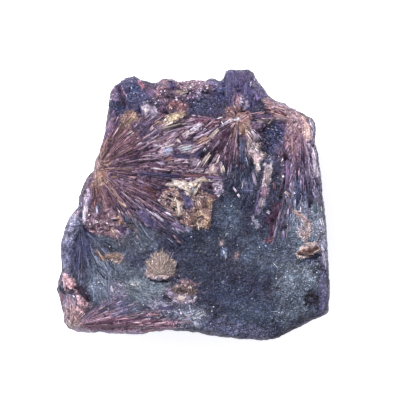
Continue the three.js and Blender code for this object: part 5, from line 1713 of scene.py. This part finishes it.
# %% The edge crust
crust("edge_crust", [
    ("top strip", 10, 60, 5, (0.4, 1.4), (0.2, 0.5)),
    ("violet knob", 80, 40, 5, (0.5, 1.6), (0.2, 0.5)),
    ("olive fleck", 10, 40, 5, (0.4, 1.2), (0.2, 0.5)),
    ("red brown", 20, 50, 5, (0.4, 1.2), (0.2, 0.5)),
    ("teal core", 10, 40, 4, (0.5, 1.6), (0.2, 0.5)),
    ("speckled hollow", 10, 50, 5, (0.4, 1.4), (0.2, 0.5)),
    ("rose rim", 120, 30, 5, (0.4, 1.4), (0.2, 0.5)),
    ("mauve knob", 110, 40, 5, (0.4, 1.4), (0.2, 0.5)),
    ("rose knob", 120, 40, 5, (0.4, 1.4), (0.2, 0.5)),
    ("white patch", 120, 30, 5, (0.5, 1.8), (0.2, 0.5)),
    ("grey patch", 70, 30, 5, (0.5, 1.8), (0.2, 0.6)),
    ("plum foot", 40, 40, 5, (0.4, 1.4), (0.2, 0.5)),
    ("lump", 100, 50, 4, (0.5, 1.6), (0.2, 0.5)),
    ("lump side", 80, 30, 4, (0.5, 1.6), (0.2, 0.5)),
    ("lump foot", 80, 30, 4, (0.5, 1.6), (0.2, 0.5)),
    ("peak knob", 20, 40, 4, (0.4, 1.4), (0.2, 0.5)),
    ("crystal left", 76, 10, 3, (1.4, 3), (0.5, 1)),
    ("crystal right", 70, 8, 3, (1.4, 3), (0.6, 1.1)),
    ("yellow band", 30, 40, 5, (0.4, 1.6), (0.25, 0.6)),
    ("yellow core", 30, 40, 4, (0.4, 1.6), (0.25, 0.6)),
    ("peach lip", 84, 20, 4, (0.8, 2.4), (0.4, 0.8)),
    ("right heart", 110, 50, 4, (0.4, 1.6), (0.15, 0.4)),
    ("ridge", 166, 12, 4, (0.8, 3), (0.2, 0.5)),
    ("ridge foot", 164, 12, 4, (0.8, 3), (0.2, 0.5)),
    ("outer rim", 110, 16, 4, (0.6, 2), (0.2, 0.6)),
    ("hollow", 90, 60, 4, (0.4, 1.2), (0.2, 0.6)),
    ("hollow foot", 70, 50, 5, (0.4, 1.2), (0.2, 0.5)),
], depth=1.7)

# %% [markdown]
# The last crusts are the pale chunks and plates between the sprays, and the slabs beside them.

# %% The plates between the sprays
crust("laths_between", [
    ("white chunk", 36, 14, 5, (0.8, 2.4), (0.3, 0.7)),
    ("pale chunk", 36, 20, 5, (0.6, 1.8), (0.3, 0.7)),
    ("olive chunk", 48, 18, 4, (0.8, 2.4), (0.3, 0.7)),
    ("peach wedge", 36, 16, 4, (0.8, 2.4), (0.3, 0.7)),
    ("green plate", 14, 30, 4, (0.6, 2), (0.3, 0.7)),
    ("lilac plate", 20, 40, 4, (0.6, 2), (0.3, 0.7)),
    ("plum block", 6, 14, 4, (0.8, 2.4), (0.3, 0.7)),
    ("navy block", 46, 20, 4, (0.8, 2.4), (0.3, 0.7)),
    ("orange lens", 168, 14, 4, (0.6, 2), (0.2, 0.5)),
    ("slab", 84, 14, 4, (1, 3.4), (0.4, 0.9)),
    ("slab foot", 82, 14, 4, (0.8, 2.6), (0.4, 0.8)),
    ("slab end", 72, 16, 4, (0.8, 2.6), (0.3, 0.7)),
    ("blue tip", 122, 20, 5, (0.6, 2), (0.25, 0.6)),
    ("cream slab", 104, 26, 5, (0.8, 2.6), (0.3, 0.8)),
    ("violet block", 140, 20, 4, (0.8, 2.4), (0.3, 0.8)),
    ("olive band", 172, 14, 5, (0.8, 2.4), (0.2, 0.5)),
    ("star right", 112, 16, 4, (0.8, 3), (0.3, 0.7)),
])

# %% [markdown]
# Grains are small angular crystals. One chip is copied, turned every way and half sunk in the
# skin. Particles could do this, but chips joined to one mesh can be kept clear of the streaks.

# %% How grains are scattered
TILT = 60  # degrees
RAISED = 0.2  # share of its height by which a grain's middle stands above the skin


def turned(count, lean):
    """Rotations as matrices: any turn about the vertical, then a tilt of about lean degrees."""
    turn, tilt, way = (rng.uniform(0, 2 * math.pi, count), np.radians(rng.normal(0, lean, count)),
                       rng.uniform(0, 2 * math.pi, count))
    flat = np.zeros((count, 3, 3))
    flat[:, 0, 0], flat[:, 0, 1] = np.cos(turn), -np.sin(turn)
    flat[:, 1, 0], flat[:, 1, 1], flat[:, 2, 2] = np.sin(turn), np.cos(turn), 1
    axis = np.column_stack([np.cos(way), np.sin(way), np.zeros(count)])
    cross = np.zeros((count, 3, 3))
    cross[:, 0, 2], cross[:, 1, 2] = axis[:, 1], -axis[:, 0]
    cross[:, 2, 0], cross[:, 2, 1] = -axis[:, 1], axis[:, 0]
    sine, rest = np.sin(tilt)[:, None, None], (1 - np.cos(tilt))[:, None, None]
    return (np.eye(3) + sine * cross + rest * cross @ cross) @ flat


def grains_on(name, patches, painted_glint_share=0.015):
    """Scatters grains. A patch has a middle, half sizes, a turn, a number, and the smallest and
    largest size. The painted glint share is the share of grains given a painted glint."""
    spots = np.vstack([inside(middle, half, turn, count)
                       for middle, half, turn, count, _ in patches])
    size = np.concatenate([rng.uniform(*sizes, count) for *_, count, sizes in patches])
    z = heights(*spots.T)
    ok = ~np.isnan(z) & ~taken(*spots.T)
    spots, size, z = spots[ok], size[ok], z[ok]
    tints = local_tints(*spots.T, 1, painted_glint_share)
    sides = size[:, None] * rng.uniform((0.8, 0.6, 0.5), (1.3, 1, 0.9), (len(size), 3))
    join_copies(name, CHIP, np.column_stack([spots, z + sides[:, 2] * RAISED]),
                turned(len(size), TILT) * sides[:, None, :], np.repeat(tints[:, None], 2, axis=1))


# %% [markdown]
# The top edge and the dark hollow are crumbly, and the sprays carry a fine dust of splinters.

# %% The crumbs and the dust
grains_on("edge_grains", [
    ((-2.4, 33), (12, 4.6), 0, 1500, (0.25, 0.8)),
    ((-18.6, 32), (7, 6.4), 0, 1300, (0.2, 0.7)),
    ((-12.9, 28.4), (3.8, 2.8), 0, 260, (0.3, 0.8)),
    ((4, 29), (7, 4), 0, 620, (0.25, 0.7)),
    ((23.4, 19.4), (3.6, 6.6), 0, 500, (0.25, 0.7)),
])
grains_on("spray_dust", [
    ((-14, 12), (18, 13), 10, 1500, (0.15, 0.5)),
    ((12, 20), (10, 8), 0, 700, (0.15, 0.5)),
    ((31, 14), (5, 14), 4, 700, (0.15, 0.5)),
    ((-9.4, -18), (4.6, 4), 0, 500, (0.2, 0.6)),
    ((-24, -35), (14, 3), 3, 500, (0.15, 0.4)),
    ((-33, -14), (5, 8), 0, 500, (0.15, 0.4)),
])

# %% [markdown]
# The groundmass is like sugar all over, coarser in the matrix than in the fields round it. A few
# grains have painted glints: their colour is made brighter in place of light caught on them.

# %% The sugar and the grains with painted glints
grains_on("matrix_sugar", [
    ((17, -14), (23, 26), 0, 9000, (0.2, 0.6)),
])
grains_on("field_sugar", [
    ((-18, -20), (16, 14), 0, 3000, (0.15, 0.5)),
    ((-2, -33.1), (8, 4.4), 0, 1500, (0.25, 0.7)),
])
# painted highlights: most of these grains get a painted glint, colour made brighter in place of
# light caught on their faces
grains_on("painted_glint_grains", [
    ((11.6, -23.4), (4.6, 2.6), 0, 44, (0.15, 0.42)),
    ((12, -14.8), (5.4, 2), -20, 34, (0.15, 0.4)),
    ((33, -22), (4.6, 3.4), -30, 60, (0.15, 0.4)),
    ((35, -15), (3.6, 1.6), 10, 24, (0.15, 0.4)),
    ((-10, -29), (6, 2), 0, 44, (0.15, 0.4)),
    ((-3, -33), (6, 3.4), 0, 90, (0.2, 0.5)),
    ((14, 6), (4, 6), 0, 30, (0.15, 0.4)),
    ((-18, 33), (5, 4), 0, 40, (0.15, 0.4)),
    ((4, 33), (10, 3), 0, 70, (0.15, 0.45)),
], painted_glint_share=0.8)

# %% [markdown]
# Each streak is laid as a bundle of fibres side by side, higher than the crystals round it. One
# broad blade would look like a plank.

# %% The streaks laid
FIBRE, OVERLAP = 0.32, 1.5  # room for one blade of a bundle, and how often it is filled
FIBRE_WIDTHS = (0.3, 0.5)
RAGGED = (-0.1, 0.22)  # shares of its length by which a blade's ends fall short


def streak_bars(groups):
    """The fibres of each streak."""
    for name, spans in groups.items():
        for x0, y0, x1, y1, width in spans:
            count = max(2, round(width / FIBRE * OVERLAP))
            a, b = np.array([x0, y0]), np.array([x1, y1])
            across = np.array([y0 - y1, x1 - x0]) / math.hypot(x1 - x0, y1 - y0)
            step = (rng.permutation(count) + 0.5) / count - 0.5 + rng.normal(0, 0.05, count)
            side = across * (step * width * 0.8)[:, None]
            trim = rng.uniform(*RAGGED, (2, count))[:, :, None]
            widths = rng.uniform(*FIBRE_WIDTHS, count)
            tints = PAINT[name] * 2 ** rng.normal(0, 0.28, (count, 1))
            yield a + side + (b - a) * trim[0], b + side - (b - a) * trim[1], tints, widths


for name, groups in STREAKS.items():
    bars(name, streak_bars(groups), thick=(0.6, 0.9), proud=(0.35, 0.7), roll=22, clear=False)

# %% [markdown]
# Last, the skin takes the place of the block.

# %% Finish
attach(rock, "root")
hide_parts("specimen")
